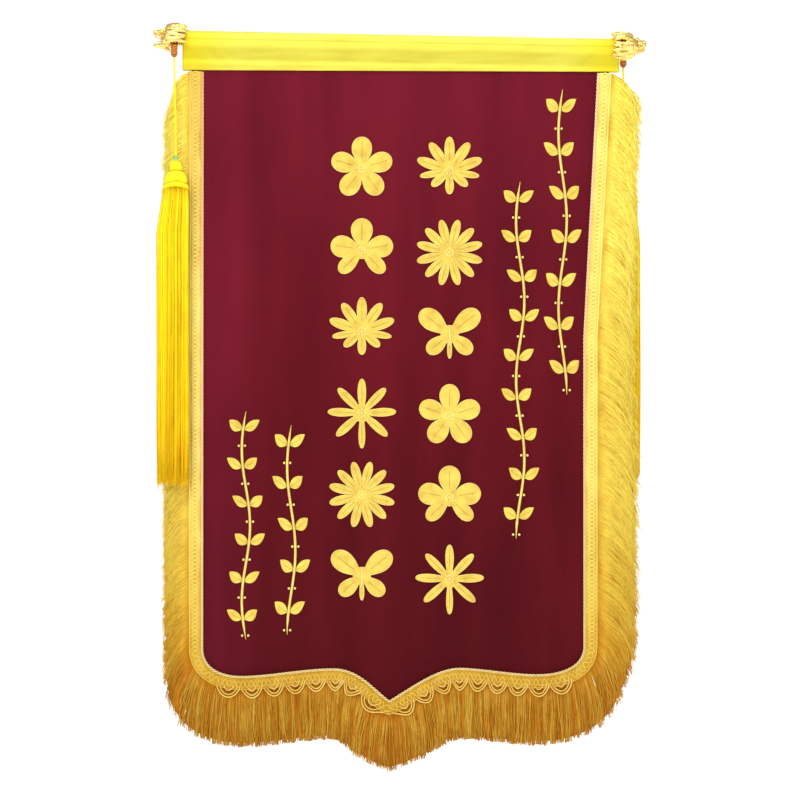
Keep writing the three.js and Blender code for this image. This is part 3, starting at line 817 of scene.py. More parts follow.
@dataclass(frozen=True)
class GoldClothFinish:
    """Gold satin stitch: fine slanting threads with a soft gleam."""

    bright: str = "efd65a"
    deep: str = "c79d2e"
    stitch: float = 420.0

    def material(self) -> bpy.types.Material:
        """Builds the node material."""
        sheet = NodeSheet("gold_stitching")
        threads = sheet.wave(sheet.place(turn=28), self.stitch, "X", 1.2)
        worn = sheet.noise(sheet.place(), 70, 3)
        mixed = sheet.math("MULTIPLY_ADD", worn, 0.7, sheet.math("MULTIPLY", threads, 0.35))
        ground = sheet.ramp(mixed, [(0.3, self.deep), (0.62, self.bright)])
        tone = sheet.read("tone")
        ground = sheet.mix(sheet.math("MULTIPLY", sheet.share(tone, 0.5, 1.0), 0.45), ground, "fbeb9c")
        ground = sheet.mix(sheet.math("MULTIPLY", sheet.share(tone, 0.5, 0.0), 0.6), ground, "9a6c1c")
        return sheet.finish(
            ground,
            sheet.bump(threads, 0.5, 0.25),
            Roughness=sheet.math("MULTIPLY_ADD", worn, 0.25, 0.3),
            Metallic=0.25,
            Sheen_Weight=0.1,
        )


@dataclass(frozen=True)
class GiltFinish:
    """Bright gold plate over a carved casting, with painted brown shade in its recesses."""

    bright: str = "f6d478"
    brown: str = "8a5614"
    pits: float = 500.0

    def material(self) -> bpy.types.Material:
        """Builds the node material."""
        sheet = NodeSheet("gilt_casting")
        recess_shade = sheet.add("ShaderNodeNewGeometry").outputs["Pointiness"]
        stain = sheet.noise(sheet.place(), 120, 3)
        # Painted shade: the recesses, found by pointiness, turn brown; worn here is that painted shade with a
        # little stain noise mixed in.
        worn = sheet.math("MULTIPLY_ADD", stain, 0.06, recess_shade)
        ground = sheet.ramp(worn, [(0.49, self.brown), (0.53, self.bright)])
        scales = sheet.add(
            "ShaderNodeTexVoronoi", {"Vector": sheet.place(), "Scale": self.pits}, feature="F1"
        ).outputs["Distance"]
        return sheet.finish(
            ground,
            sheet.bump(scales, 0.4, 0.6),
            Roughness=sheet.math("MULTIPLY_ADD", stain, 0.2, 0.18),
            Metallic=0.85,
        )


@dataclass(frozen=True)
class GlassFinish:
    """Cloudy green glass."""

    light: str = "8fe07a"
    dark: str = "2f8f3a"

    def material(self) -> bpy.types.Material:
        """Builds the node material."""
        sheet = NodeSheet("green_glass")
        swirl = sheet.wave(sheet.place(turn=20), 120, "Z", 3.0)
        ground = sheet.ramp(swirl, [(0.2, self.dark), (0.8, self.light)])
        return sheet.finish(ground, Roughness=0.12, Coat_Weight=0.6, Coat_Roughness=0.05)


@dataclass(frozen=True)
class WoodFinish:
    """Pale turned wood with its grain along the rod."""

    light: str = "d2b385"
    dark: str = "9a7444"

    def material(self) -> bpy.types.Material:
        """Builds the node material."""
        sheet = NodeSheet("pale_wood")
        grain = sheet.noise(sheet.place((0.06, 1, 1)), 900, 4)
        ground = sheet.ramp(grain, [(0.3, self.dark), (0.7, self.light)])
        return sheet.finish(ground, sheet.bump(grain, 0.3, 0.2), Roughness=0.6)


@dataclass(frozen=True)
class FloorFinish:
    """A plain pale floor."""

    shade: str = "f7f7f5"

    def material(self) -> bpy.types.Material:
        """Builds the node material."""
        sheet = NodeSheet("pale_floor")
        cloud = sheet.noise(sheet.place(), 0.6)
        colour = sheet.ramp(cloud, [(0, self.shade), (1, "fbfbfa")])
        return sheet.finish(colour, Roughness=0.9, Emission_Color=(1, 1, 1, 1), Emission_Strength=0.62)


# The banner's own lines


@dataclass(frozen=True)
class HangFold:
    """The hanging velvet's one slow fold, which fades out at the sleeve."""

    depth: float = 3.0
    pitch: float = 440.0
    start: float = -250.0
    lean: float = 0.12
    fade_top: float = 70.0
    fade_foot: float = 420.0

    def at(self, x: np.ndarray | float, z: np.ndarray | float) -> np.ndarray:
        """How far back the velvet stands.

        Args:
            x: Places across the banner.
            z: Their heights.

        Returns:
            Their Y, beyond the flat velvet's.
        """
        hang = smooth_share((-np.asarray(z) - self.fade_top) / (self.fade_foot - self.fade_top))
        across = x - self.start + self.lean * np.asarray(z)
        return hang * self.depth * np.sin(2 * math.pi * across / self.pitch)


@dataclass(frozen=True)
class EdgeRow:
    """One stretch of the edge: straight, or a cubic curve with two handles."""

    to: tuple[float, float]
    handles: tuple[tuple[float, float], ...] = ()


@dataclass
class BannerEdge:
    """The braid's inner edge, from the top left round the hem to the top right."""

    top_left: tuple[float, float] = (-288.4, -44.0)
    rows: tuple[EdgeRow, ...] = (
        EdgeRow((-289, -885)),
        EdgeRow((-230, -928), ((-289, -915), (-262, -928))),
        EdgeRow((-98, -917.5), ((-190, -928), (-140, -917.5))),
        EdgeRow((-15, -965), ((-60, -917.5), (-42, -945))),
        EdgeRow((87, -916.5), ((14, -948), (54, -917))),
        EdgeRow((200, -925.5), ((120, -916.5), (165, -925.5))),
        EdgeRow((271, -882), ((240, -925.5), (271, -912))),
        EdgeRow((271, -433)),
        EdgeRow((291.3, -46)),
    )
    step: float = 1.0
    corner: int = 9
    fan: int = 45

    def __post_init__(self) -> None:
        """Lays out evenly spaced places with their outward directions, sharp and fanned."""
        here = np.array(self.top_left)
        line = [here[None]]
        for row in self.rows:
            knots = np.array([here, *(row.handles or (here, row.to)), row.to], float)
            t = np.linspace(0, 1, 201)[1:, None]
            if row.handles:
                a, b, c, d = knots
                curve = (1 - t) ** 3 * a + 3 * t * (1 - t) ** 2 * b + 3 * t * t * (1 - t) * c + t**3 * d
            else:
                curve = here + t * (np.array(row.to) - here)
            line.append(curve)
            here = np.array(row.to, float)
        rough = np.concatenate(line)
        along = np.concatenate([[0], np.cumsum(np.linalg.norm(np.diff(rough, axis=0), axis=1))])
        self.length = float(along[-1])
        self.marks = np.linspace(0, self.length, round(self.length / self.step))
        self.places = np.stack([np.interp(self.marks, along, rough[:, k]) for k in (0, 1)], 1)
        run = unit(np.gradient(self.places, axis=0))
        out = np.stack([run[:, 1], -run[:, 0]], 1)
        self.sharp = self.eased(out, self.corner)
        self.fanned = self.eased(out, self.fan)

    @staticmethod
    def eased(directions: np.ndarray, width: int) -> np.ndarray:
        """Directions averaged with their neighbours, width of them at a time."""
        kernel = np.ones(width) / width
        padded = np.pad(directions, ((width // 2, width // 2), (0, 0)), mode="edge")
        return unit(np.stack([np.convolve(padded[:, k], kernel, "valid") for k in (0, 1)], 1))

    def out(self, along: np.ndarray, fanned: bool = False) -> np.ndarray:
        """Outward directions at places along the edge.

        Args:
            along: Distances along it.
            fanned: Whether they turn slowly past its corners.

        Returns:
            A direction in X and Z for each.
        """
        source = self.fanned if fanned else self.sharp
        return unit(np.stack([np.interp(along, self.marks, source[:, k]) for k in (0, 1)], -1))

    def at(self, along: np.ndarray, outward: np.ndarray | float, fanned: bool = False) -> np.ndarray:
        """Places that far outward from the edge.

        Args:
            along: Distances along the edge.
            outward: How far outward each lies.
            fanned: Whether outward turns slowly past the corners.

        Returns:
            X and Z of each.
        """
        place = np.stack([np.interp(along, self.marks, self.places[:, k]) for k in (0, 1)], -1)
        return place + self.out(along, fanned) * np.asarray(outward, float)[..., None]

    def along_hem(self, x: np.ndarray) -> np.ndarray:
        """Distances along the edge of places on the hem that have those X."""
        hem = (self.places[:, 1] < -880) & (self.places[:, 0] < 271)
        return np.interp(x, self.places[hem, 0], self.marks[hem])


@dataclass(frozen=True)
class RodLine:
    """The rod's sizes and the slope at which it hangs."""

    radius: float = 8.0
    half: float = 335.2
    tilt: float = math.radians(1.1)

    def height(self, x: np.ndarray | float) -> np.ndarray | float:
        """The height of the rod's axis at a place along it."""
        return -x * math.tan(self.tilt)

    def turn(self) -> np.ndarray:
        """The rows of a turn about Y by the rod's slope."""
        c, s = math.cos(self.tilt), math.sin(self.tilt)
        return np.array([[c, 0, s], [0, 1, 0], [-s, 0, c]])


@dataclass
class Lines:
    """What all the pieces are laid out on."""

    fold: HangFold = field(default_factory=HangFold)
    edge: BannerEdge = field(default_factory=BannerEdge)
    rod: RodLine = field(default_factory=RodLine)


# Pieces


@dataclass
class Studio:
    """The camera in front of the banner, a pale floor and soft lights. Its sizes are metres."""

    width_seen: float = 1.168
    middle: tuple[float, float] = (0.0007, -0.5231)
    away: float = 3.0
    floor_height: float = -1.3
    floor_reach: float = 9.0
    sky: float = 0.46
    seen_sky: float = 1.05
    lamps: tuple[tuple[str, tuple[float, float, float], float, float], ...] = (
        ("key", (-1.1, -2.6, 1.3), 1.5, 52),
        ("fill", (1.9, -2.4, 0.2), 1.8, 16),
        ("top", (0.1, -0.9, 1.9), 1.4, 24),
        ("back", (0.6, 2.6, 0.9), 1.8, 28),
    )

    def camera(self) -> None:
        """Places the camera so that the photograph's frame is just filled."""
        made = bpy.data.cameras.new("camera")
        made.sensor_width = 36.0
        made.lens = made.sensor_width * self.away / self.width_seen
        held = bpy.data.objects.new("camera", made)
        held.location = (self.middle[0], -self.away, self.middle[1])
        held.rotation_euler = (math.pi / 2, 0, 0)
        bpy.context.scene.collection.objects.link(held)
        bpy.context.scene.camera = held
        bpy.context.scene.view_settings.view_transform = "Standard"

    def lamp(self, name: str, place: tuple[float, float, float], size: float, power: float) -> None:
        """Adds a square soft light that faces the banner's middle.

        Args:
            name: Its name.
            place: Where it stands.
            size: Its width.
            power: Its power in watts.
        """
        made = bpy.data.lights.new(name, "AREA")
        made.size = size
        made.energy = power
        held = bpy.data.objects.new(name, made)
        held.location = place
        aim = Vector((0, 0, -0.45)) - Vector(place)
        held.rotation_euler = aim.to_track_quat("-Z", "Y").to_euler()
        bpy.context.scene.collection.objects.link(held)

    def sky_light(self) -> None:
        """Makes the surroundings white to the camera and softer to the banner."""
        world = bpy.data.worlds.new("surroundings")
        bpy.context.scene.world = world
        world.use_nodes = True
        tree = world.node_tree
        lit = tree.nodes["Background"]
        lit.inputs["Color"].default_value = (1, 1, 1, 1)
        lit.inputs["Strength"].default_value = self.sky
        seen = tree.nodes.new("ShaderNodeBackground")
        seen.inputs["Color"].default_value = (1, 1, 1, 1)
        seen.inputs["Strength"].default_value = self.seen_sky
        chosen = tree.nodes.new("ShaderNodeMixShader")
        tree.links.new(tree.nodes.new("ShaderNodeLightPath").outputs["Is Camera Ray"], chosen.inputs[0])
        tree.links.new(lit.outputs[0], chosen.inputs[1])
        tree.links.new(seen.outputs[0], chosen.inputs[2])
        tree.links.new(chosen.outputs[0], tree.nodes["World Output"].inputs["Surface"])

    def build(self) -> None:
        """Makes the floor and the lights; the camera comes first, on its own."""
        self.sky_light()
        for row in self.lamps:
            self.lamp(*row)
        floor = Draft()
        reach = np.array([-self.floor_reach, self.floor_reach]) / MM
        x, y = np.meshgrid(reach, reach)
        height = np.full_like(x, self.floor_height / MM)
        floor.add(np.stack([x, y, height], 2), [lattice(2, 2)])
        floor.build("floor", [FloorFinish().material()])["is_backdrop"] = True


@dataclass
class VelvetPanel:
    """The crimson sheet, cut wider than the braid's inner edge and lapped under the sleeve."""

    thick: float = 2.0
    outset: float = 15.0
    seam: tuple[float, float] = (-42.0, -44.6)
    lap: float = 17.0
    bend: float = -433.0
    columns: int = 67
    rows_above: int = 34
    rows_below: int = 40
    ripple: float = 0.25

    def outline(self, lines: Lines) -> tuple[np.ndarray, ...]:
        """Where each column of the cloth starts, bends and ends.

        Args:
            lines: The banner's lines.

        Returns:
            X at the top, X below the bend, the top and the foot of each column.
        """
        edge = lines.edge
        hem = edge.at(edge.marks, self.outset)
        rising = (hem[:, 1] < -700) & (hem[:, 0] < 284)
        hem = hem[rising]
        keep = np.concatenate([[True], np.diff(np.maximum.accumulate(hem[:, 0])) > 0])
        hem = hem[keep]
        low_left, low_right = hem[0, 0], hem[-1, 0]
        share = np.linspace(0, 1, self.columns)
        eased = share - 0.5 * np.sin(2 * math.pi * share) / (2 * math.pi)
        x = low_left + (low_right - low_left) * eased
        x[np.argmin(np.abs(x + 15))] = -15
        ends = edge.at(np.array([0, edge.length]), self.outset)[:, 0]
        top_x = ends[0] + (ends[1] - ends[0]) * eased
        top = self.seam[0] + (self.seam[1] - self.seam[0]) * eased + self.lap
        return top_x, x, top, np.interp(x, hem[:, 0], hem[:, 1])

    def build(self, lines: Lines) -> bpy.types.Object:
        """Makes the sheet.

        Args:
            lines: The banner's lines.

        Returns:
            The piece.
        """
        top_x, low_x, top, foot = self.outline(lines)
        above = np.linspace(0, 1, self.rows_above, endpoint=False)[:, None]
        below = np.linspace(0, 1, self.rows_below)[:, None]
        straight = np.broadcast_to(low_x, (self.rows_below, self.columns))
        x = np.concatenate([top_x + (low_x - top_x) * above, straight])
        z = np.concatenate([top + (self.bend - top) * above, self.bend + (foot - self.bend) * below])
        hang = smooth_share((-z - 60) / 200)
        ripple = self.ripple * hang * np.sin(x / 23 + 0.6 * np.sin(z / 90)) * np.sin(z / 140 + x / 61)
        y = lines.fold.at(x, z) + ripple
        front, back = (np.stack([x, y + side * self.thick / 2, z], 2) for side in (-1, 1))
        draft = Draft()
        draft.slab(front, back, back_kind=1)
        made = draft.build("velvet", [VelvetFinish().material(), BackingFinish().material()])
        finish_piece(made, Slot.VELVET, "velvet_panel")
        return made


@dataclass(frozen=True)
class Crease:
    """A soft ridge or trough across the sleeve's front: its middle, slope, sizes and height."""

    x: float
    z: float
    slope: float
    wide: float
    long: float
    proud: float


@dataclass
class SatinSleeve:
    """One satin cloth folded over the rod and closed on both faces of the velvet's top edge."""

    left: float = -316.5
    right: float = 320.4
    slant: float = 4.0
    slant_reach: float = 40.0
    slant_fall: tuple[float, float] = (12.0, 22.0)
    cloth: float = 1.4
    pocket: float = 10.0
    seam: tuple[float, float] = (-42.0, -44.6)
    depths: tuple[float, ...] = (0, 2, 6, 11, 17, 50)
    halves: tuple[float, ...] = (10, 9.9, 9.2, 7.2, 4.4, 2.8)
    stations: int = 160
    side_rows: int = 24
    over_rows: int = 12
    creases: tuple[Crease, ...] = (
        Crease(-268, -24, -0.95, 3.2, 17, -1.3),
        Crease(-262, -17, -0.9, 3.0, 15, 1.2),
        Crease(-286, -22, -0.6, 4.0, 18, 0.8),
        Crease(268, -25, 0.85, 3.0, 16, 1.5),
        Crease(277, -28, 0.85, 2.6, 14, -1.1),
        Crease(252, -24, 0.5, 4.0, 26, -0.9),
        Crease(214, -22, 0.12, 3.0, 40, -0.6),
        Crease(-60, -27, 0.03, 3.5, 90, -0.5),
        Crease(120, -26, -0.02, 3.5, 120, -0.6),
        Crease(-160, -24, 0.08, 3.0, 70, -0.4),
        Crease(40, -16, 0.05, 2.4, 60, 0.4),
        Crease(-120, -32, -0.04, 2.4, 60, 0.35),
    )

    def profile(self, x: float, lines: Lines) -> tuple[np.ndarray, np.ndarray]:
        """The outside of the sleeve's section, from the front seam over the rod to the back seam.

        Args:
            x: Where the section is.
            lines: The banner's lines.

        Returns:
            Y and Z of its points.
        """
        axis = float(lines.rod.height(x))
        seam = np.interp(x, [self.left, self.right], self.seam)
        depth = (axis - seam) * np.linspace(1, 0, self.side_rows, endpoint=False)
        near = [np.clip(depth + off, 0, None) for off in (-1.5, 0, 1.5)]
        half = np.mean([np.interp(place, self.depths, self.halves) for place in near], 0)
        hem = 0.9 * np.exp(-(((axis - seam - depth - 2.0) / 3.0) ** 2))
        turn = np.linspace(-math.pi / 2, math.pi / 2, self.over_rows)
        front = np.stack([-half - hem, axis - depth], 1)
        over = np.stack([self.pocket * np.sin(turn), axis + self.pocket * np.cos(turn)], 1)
        back = np.stack([half[::-1], axis - depth[::-1]], 1)
        outside = np.concatenate([front, over, back])
        return outside[:, 0], outside[:, 1]

    def wrinkle(self, x: float, y: np.ndarray, z: np.ndarray, lines: Lines) -> np.ndarray:
        """How far the cloth stands out of its plain section.

        Args:
            x: Where the section is.
            y: Y of its points.
            z: Z of its points.
            lines: The banner's lines.

        Returns:
            A distance outward for each point.
        """
        axis = lines.rod.height(x)
        lift = np.zeros(len(z))
        for row in self.creases:
            off = (z - row.z - row.slope * (x - row.x)) / row.wide
            lift += row.proud * np.exp(-off * off - ((x - row.x) / row.long) ** 2)
        off = (z - axis + 3.2 + 0.5 * math.sin(x / 37)) / 1.6
        groove = smooth_share((130 - abs(x + 80)) / 60) * np.exp(-(off**2))
        slow = 0.35 * np.sin(x / 29 + z / 7) * np.sin(x / 83 + z / 19)
        fine = 0.12 * np.sin(x / 6.1 + 0.9 * np.sin(z / 5)) * np.sin(z / 6.4 + x / 31)
        low = smooth_share((axis - z - 4) / 8)
        end = 0.3 * sum(math.exp(-((gap / 2) ** 2)) for gap in (x - self.left - 3, x - self.right + 3))
        front = y < 0
        return np.where(front, lift * low - 0.9 * groove, 0.4 * lift * low) + slow * low + fine + end

    def build(self, lines: Lines) -> bpy.types.Object:
        """Makes the sleeve with its seam's stitches.

        Args:
            lines: The banner's lines.

        Returns:
            The piece.
        """
        sections, stitches = [], []
        for x in np.linspace(self.left, self.right, self.stations):
            y, z = self.profile(x, lines)
            run = unit(np.gradient(np.stack([y, z], 1), axis=0))
            out = np.stack([-run[:, 1], run[:, 0]], 1)
            outside = np.stack([y, z], 1) + out * self.wrinkle(x, y, z, lines)[:, None]
            inside = outside - out * self.cloth
            section = np.concatenate([outside, inside[::-1]])
            near = smooth_share((self.left + self.slant_reach - x) / self.slant_reach)
            low, span = self.slant_fall
            slant = near * self.slant * smooth_share((section[:, 1] + low) / span)
            sections.append(np.column_stack([x + slant, section]))
            stitches.append((x, *outside[3]))
        draft = Draft()
        draft.sweep(np.array(sections)[:, ::-1])
        line = np.array(stitches)
        for x in np.arange(self.left + 6, self.right - 6, 3.2):
            ends = np.array([x, x + 0.6, x + 1.6, x + 2.2])
            y, z = (np.interp(ends, line[:, 0], line[:, k]) for k in (1, 2))
            draft.tubes(np.stack([ends, y + np.array([0.2, -0.25, -0.25, 0.2]), z], 1), 0.22, 4, tone=0.2)
        made = draft.build("sleeve", [SatinFinish().material()])
        finish_piece(made, Slot.SATIN, "satin_sleeve")
        return made


@dataclass
class GimpBraid:
    """The looped braid round the sides and the hem, with scallops over the bottom fringe."""

    width: float = 18.0
    back: float = -3.7
    rim: float = -4.7
    ridge: float = -5.4
    rope: float = 1.25
    rope_at: float = -1.2
    rope_turn: float = 10.8
    rope_step: float = 1.2
    wave_pitch: float = 12.0
    scallops: tuple[tuple[float, float, int], ...] = ((-262, -15, 8), (-15, 246, 9))
    scallop_foot: float = 13.0
    scallop_drop: float = 17.5

    def lay(
        self, lines: Lines, along: np.ndarray, outward: np.ndarray | float, depth: np.ndarray | float
    ) -> np.ndarray:
        """Places over the edge, at that distance outward and at that depth before the fold."""
        spot = lines.edge.at(along, np.broadcast_to(outward, along.shape))
        y = depth + lines.fold.at(spot[..., 0], spot[..., 1])
        return np.stack([spot[..., 0], y, spot[..., 1]], -1)

    def band(self, draft: Draft, lines: Lines) -> None:
        """Adds the woven ground that the cords lie on."""
        along = np.linspace(0, lines.edge.length, 520)
        outer = self.width - 0.6
        section = [(0.6, self.back), (0.6, self.rim), (4, self.ridge), (9, self.ridge - 0.2)]
        section += [(14, self.ridge), (outer, self.rim), (outer, self.back)]
        rings = [self.lay(lines, along, out, depth) for out, depth in section]
        draft.sweep(np.stack(rings, 1), 0.3)

    def cords(self, draft: Draft, lines: Lines) -> None:
        """Adds a cord at one rim, a rope at the other and the two crossing waves between them."""
        length = lines.edge.length
        along = np.linspace(0, length, round(length))
        middle = self.lay(lines, along, self.width - 1.4, self.rim - 0.3)
        draft.tubes(plied(middle, TO_VIEWER, 0.5, length / 6.5), 0.62, 4, tone=[0.75, 0.55])
        coarse = np.linspace(1, length - 1, round(length / self.rope_step))
        middle = self.lay(lines, coarse, self.rope_at, self.rim + 0.2)
        rope = plied(middle, TO_VIEWER, self.rope, -length / self.rope_turn)
        draft.tubes(rope, self.rope * 0.8, 5, tone=[0.95, 0.75], kind=1)
        waves = round(length / self.wave_pitch)
        along = np.linspace(0, length, waves * 9)
        phase = 2 * math.pi * waves * along / length
        for sign in (-1, 1):
            outward = self.width / 2 + sign * 4.7 * np.sin(phase)
            depth = self.ridge - 0.55 - 0.45 * sign * np.cos(phase)
            draft.tubes(self.lay(lines, along, outward, depth), 0.85, 4, tone=0.62 if sign > 0 else 0.8)

    def loops(self, draft: Draft, lines: Lines) -> None:
        """Adds the scallops of the hem, each of two looped cords and an inner curl."""
        share = np.linspace(0, 1, 19)
        runs = [(low, (high - low) / count, count) for low, high, count in self.scallops]
        for start, pitch in [(low + pitch * i, pitch) for low, pitch, count in runs for i in range(count)]:
            for inset, lower, tone in ((0.02, 1.0, 0.85), (0.13, 0.78, 0.7), (0.3, 0.42, 1.0)):
                across = inset + (1 - 2 * inset) * share
                hem = lines.edge.along_hem(start + across * pitch)
                out = self.scallop_foot - 1.5 + self.scallop_drop * lower * np.sin(math.pi * share) ** 0.62
                depth = -6.3 - 0.5 * inset + 0.35 * np.cos(2 * math.pi * share)
                draft.tubes(self.lay(lines, hem, out, depth), 1.05 if inset < 0.2 else 0.85, 6, tone=tone)

    def build(self, lines: Lines) -> bpy.types.Object:
        """Makes the braid.

        Args:
            lines: The banner's lines.

        Returns:
            The piece.
        """
        draft = Draft()
        self.band(draft, lines)
        self.cords(draft, lines)
        self.loops(draft, lines)
        # The braid's colours by height, and the edging's, are partly dye and partly painted shade, darker
        # lower down.
        heights = ((-40, "f6ea7c"), (-600, "f4e476"), (-860, "e2c64c"), (-930, "cfa82c"), (-1000, "cfa82c"))
        finish = SilkFinish("braid_silk", heights, deep="c49a4c", pale="ffe0a4", roughness=0.6)
        heights = ((-40, "ffd4a4"), (-600, "f6c68c"), (-860, "e4c878"), (-1000, "dcc474"))
        edging = SilkFinish("edging_silk", heights, deep="9c6030", pale="ffe6c0", roughness=0.6)
        made = draft.build("braid", [finish.material(), edging.material()])
        return finish_piece(made, Slot.BRAID, "gimp_braid")


@dataclass
class Fringe:
    """One length of silk fringe: a tape behind the braid and a thick fall of fine threads.

    A turn is how far a thread has turned from the edge's outward direction towards straight down,
    at its root and at its tip. Round the corners the sides' threads lengthen and turn into the
    hem's.
    """

    name: str
    start: float
    end: float
    locks: int
    long: tuple[float, float]
    threads: int
    curl: float
    seed: int
    short_start: float = 1.0
    steps: int = 7
    root: float = 18.6
    radius: float = 0.5
    depth: float = 3.2
    middle: float = -2.5
    hem: tuple[float, float] = (0.375, 0.627)
    hem_long: float = 82.0
    hem_turn: tuple[float, float] = (0.5, 0.94)
    side_turn: tuple[float, float] = (0.22, 0.8)
    blend: float = 90.0
    even: float = 0.35

    def course(self, lines: Lines, along: np.ndarray) -> tuple[np.ndarray, np.ndarray, np.ndarray]:
        """How long the threads are along the edge, and their turns.

        Args:
            lines: The banner's lines.
            along: Where each thread starts, along the edge.

        Returns:
            A length, a turn at the root and a turn at the tip for each.
        """
        total = lines.edge.length
        past = np.maximum(self.hem[0] * total - along, along - self.hem[1] * total)
        aside = smooth_share(past / self.blend)
        share = (along / total - self.start) / (self.end - self.start)
        later = smooth_share((share - self.even) / (1 - self.even))
        own = self.long[0] + (self.long[1] - self.long[0]) * later
        own = own * (self.short_start + (1 - self.short_start) * smooth_share(along / 40))
        root, tip = (hem + (side - hem) * aside for hem, side in zip(self.hem_turn, self.side_turn))
        return self.hem_long + (own - self.hem_long) * aside, root, tip

    def fall(
        self, lines: Lines, along: np.ndarray, reach: np.ndarray | float, lean: np.ndarray | float
    ) -> np.ndarray:
        """Threads that leave the edge and turn down.

        Args:
            lines: The banner's lines.
            along: Where each starts, along the edge.
            reach: How long each is, as a share of the length there.
            lean: How far each strays from its turn by its tip, in radians.

        Returns:
            Paths, points, and X and Z.
        """
        roots = lines.edge.at(along, self.root, fanned=True)
        out = lines.edge.out(along, fanned=True)
        start = np.arctan2(out[:, 1], out[:, 0])
        turn = (-math.pi / 2 - start + math.pi) % (2 * math.pi) - math.pi
        share = np.linspace(0, 1, self.steps + 1)
        long, root, tip = self.course(lines, along)
        bent = root[:, None] + (tip - root)[:, None] * share
        stray = np.multiply.outer(np.broadcast_to(lean, len(along)), share)
        angle = start[:, None] + turn[:, None] * bent + stray
        stride = (long * reach)[:, None] / self.steps
        moves = np.stack([np.cos(angle), np.sin(angle)], 2)[:, 1:] * stride[..., None]
        return roots[:, None] + np.concatenate([np.zeros((len(along), 1, 2)), np.cumsum(moves, 1)], 1)

    def threads_of(self, lines: Lines, rng: np.random.Generator) -> tuple[np.ndarray, np.ndarray]:
        """The fall's threads, gathered into soft locks.

        Args:
            lines: The banner's lines.
            rng: Where its unevenness comes from.

        Returns:
            The threads' paths and their tones.
        """
        n = self.threads
        share = (np.arange(n) + rng.random(n)) / n
        lock = np.minimum(np.floor(share * self.locks), self.locks - 1).astype(int)
        span = (self.end - self.start) * lines.edge.length
        first = self.start * lines.edge.length
        uneven = 1 + 0.012 * np.sin(lock * 2.4) + rng.normal(0, 0.012, n) - 0.3 * rng.random(n) ** 7
        own = self.fall(lines, first + share * span, uneven, rng.normal(0, 0.1, n))
        led = self.fall(lines, first + (lock + 0.5) / self.locks * span, uneven, 0.08 * np.sin(lock * 1.7))
        k = np.linspace(0, 1, self.steps + 1)
        inside = np.clip(np.minimum(share, 1 - share) * self.locks - 0.5, 0, 1)
        pull = (rng.random(n) * 0.55 * inside)[:, None, None] * smooth_share(k)[None, :, None]
        flat = own + (led - own) * pull
        run = unit(np.gradient(flat, axis=1))
        swing = (self.curl * (0.4 + rng.random(n)))[:, None] * k**0.8
        waves = (0.9 + rng.random(self.locks)[lock] * 0.8 + rng.random(n) * 0.5 * self.curl)[:, None]
        phase = (rng.random(self.locks)[lock] * 6.3 + rng.random(n) * 1.6)[:, None]
        sway = swing * np.sin(2 * math.pi * waves * k + phase)
        x = flat[..., 0] - run[..., 1] * sway
        z = flat[..., 1] + run[..., 0] * sway
        layer = (rng.random(n) * 2 - 1)[:, None]
        deep = 0.2 + 0.8 * smooth_share(k * 2.5) * (1 - 0.25 * k)
        y = self.middle + lines.fold.at(x[:, :1], z[:, :1]) + layer * self.depth * deep
        y = y + 0.5 * swing * np.cos(2 * math.pi * waves * k + phase)
        # Threads that lie further back get a lower tone, which the finish paints as shade; the rest of the
        # tone is random.
        tone = 0.55 + 0.16 * rng.normal(0, 1, n) + 0.08 * np.sin(lock * 2.1) - 0.12 * layer[:, 0]
        return np.stack([x, y, z], 2), np.clip(tone, 0, 1)

    def core(self, draft: Draft, lines: Lines) -> None:
        """Adds a sheet in the heart of the fall, so that no light shows through it, given a low tone that
        paints it dark as shade.
        """
        along = np.linspace(self.start, self.end, self.locks * 2) * lines.edge.length
        inner = along * 0.999 + 0.0005 * (self.start + self.end) * lines.edge.length
        fall = self.fall(lines, inner, 0.93, 0.0)
        y = self.middle + lines.fold.at(fall[:, :1, 0], fall[:, :1, 1])
        half = 0.9 - 0.5 * np.linspace(0, 1, self.steps + 1)
        skins = [np.stack([fall[..., 0], y + sign * half, fall[..., 1]], 2) for sign in (-1, 1)]
        sides = [skin.swapaxes(0, 1) for skin in skins]
        # Painted shade: the sheet's low tone darkens it as the shadowed inside of the fall.
        draft.slab(sides[0], sides[1], tone=0.2)

    def tape(self, draft: Draft, lines: Lines) -> None:
        """Adds the woven tape that holds the roots."""
        gap = 0.3
        first, last = (share * lines.edge.length for share in (self.start, self.end))
        along = np.linspace(first + gap, last - gap, self.locks * 4)
        outer = self.root + 0.8
        section = [(6, -1.7), (6, -3.3), (13, -3.4), (outer, -3.3), (outer, -1.7), (13, -1.6)]
        rings = []
        for outward, depth in section:
            spot = lines.edge.at(along, np.full(len(along), float(outward)))
            y = depth + lines.fold.at(spot[:, 0], spot[:, 1])
            rings.append(np.stack([spot[:, 0], y, spot[:, 1]], 1))
        draft.sweep(np.stack(rings, 1), 0.4)

    def build(self, lines: Lines, finish: bpy.types.Material) -> bpy.types.Object:
        """Makes the fringe.

        Args:
            lines: The banner's lines.
            finish: Its material.

        Returns:
            The piece.
        """
        rng = np.random.default_rng(self.seed)
        draft = Draft()
        self.tape(draft, lines)
        self.core(draft, lines)
        paths, tones = self.threads_of(lines, rng)
        k = np.linspace(0, 1, self.steps + 1)
        draft.tubes(paths, self.radius * (1 - 0.3 * k**4)[None], 3, tone=tones)
        made = draft.build(self.name + "_silk", [finish])
        return finish_piece(made, Slot.FRINGE, self.name)


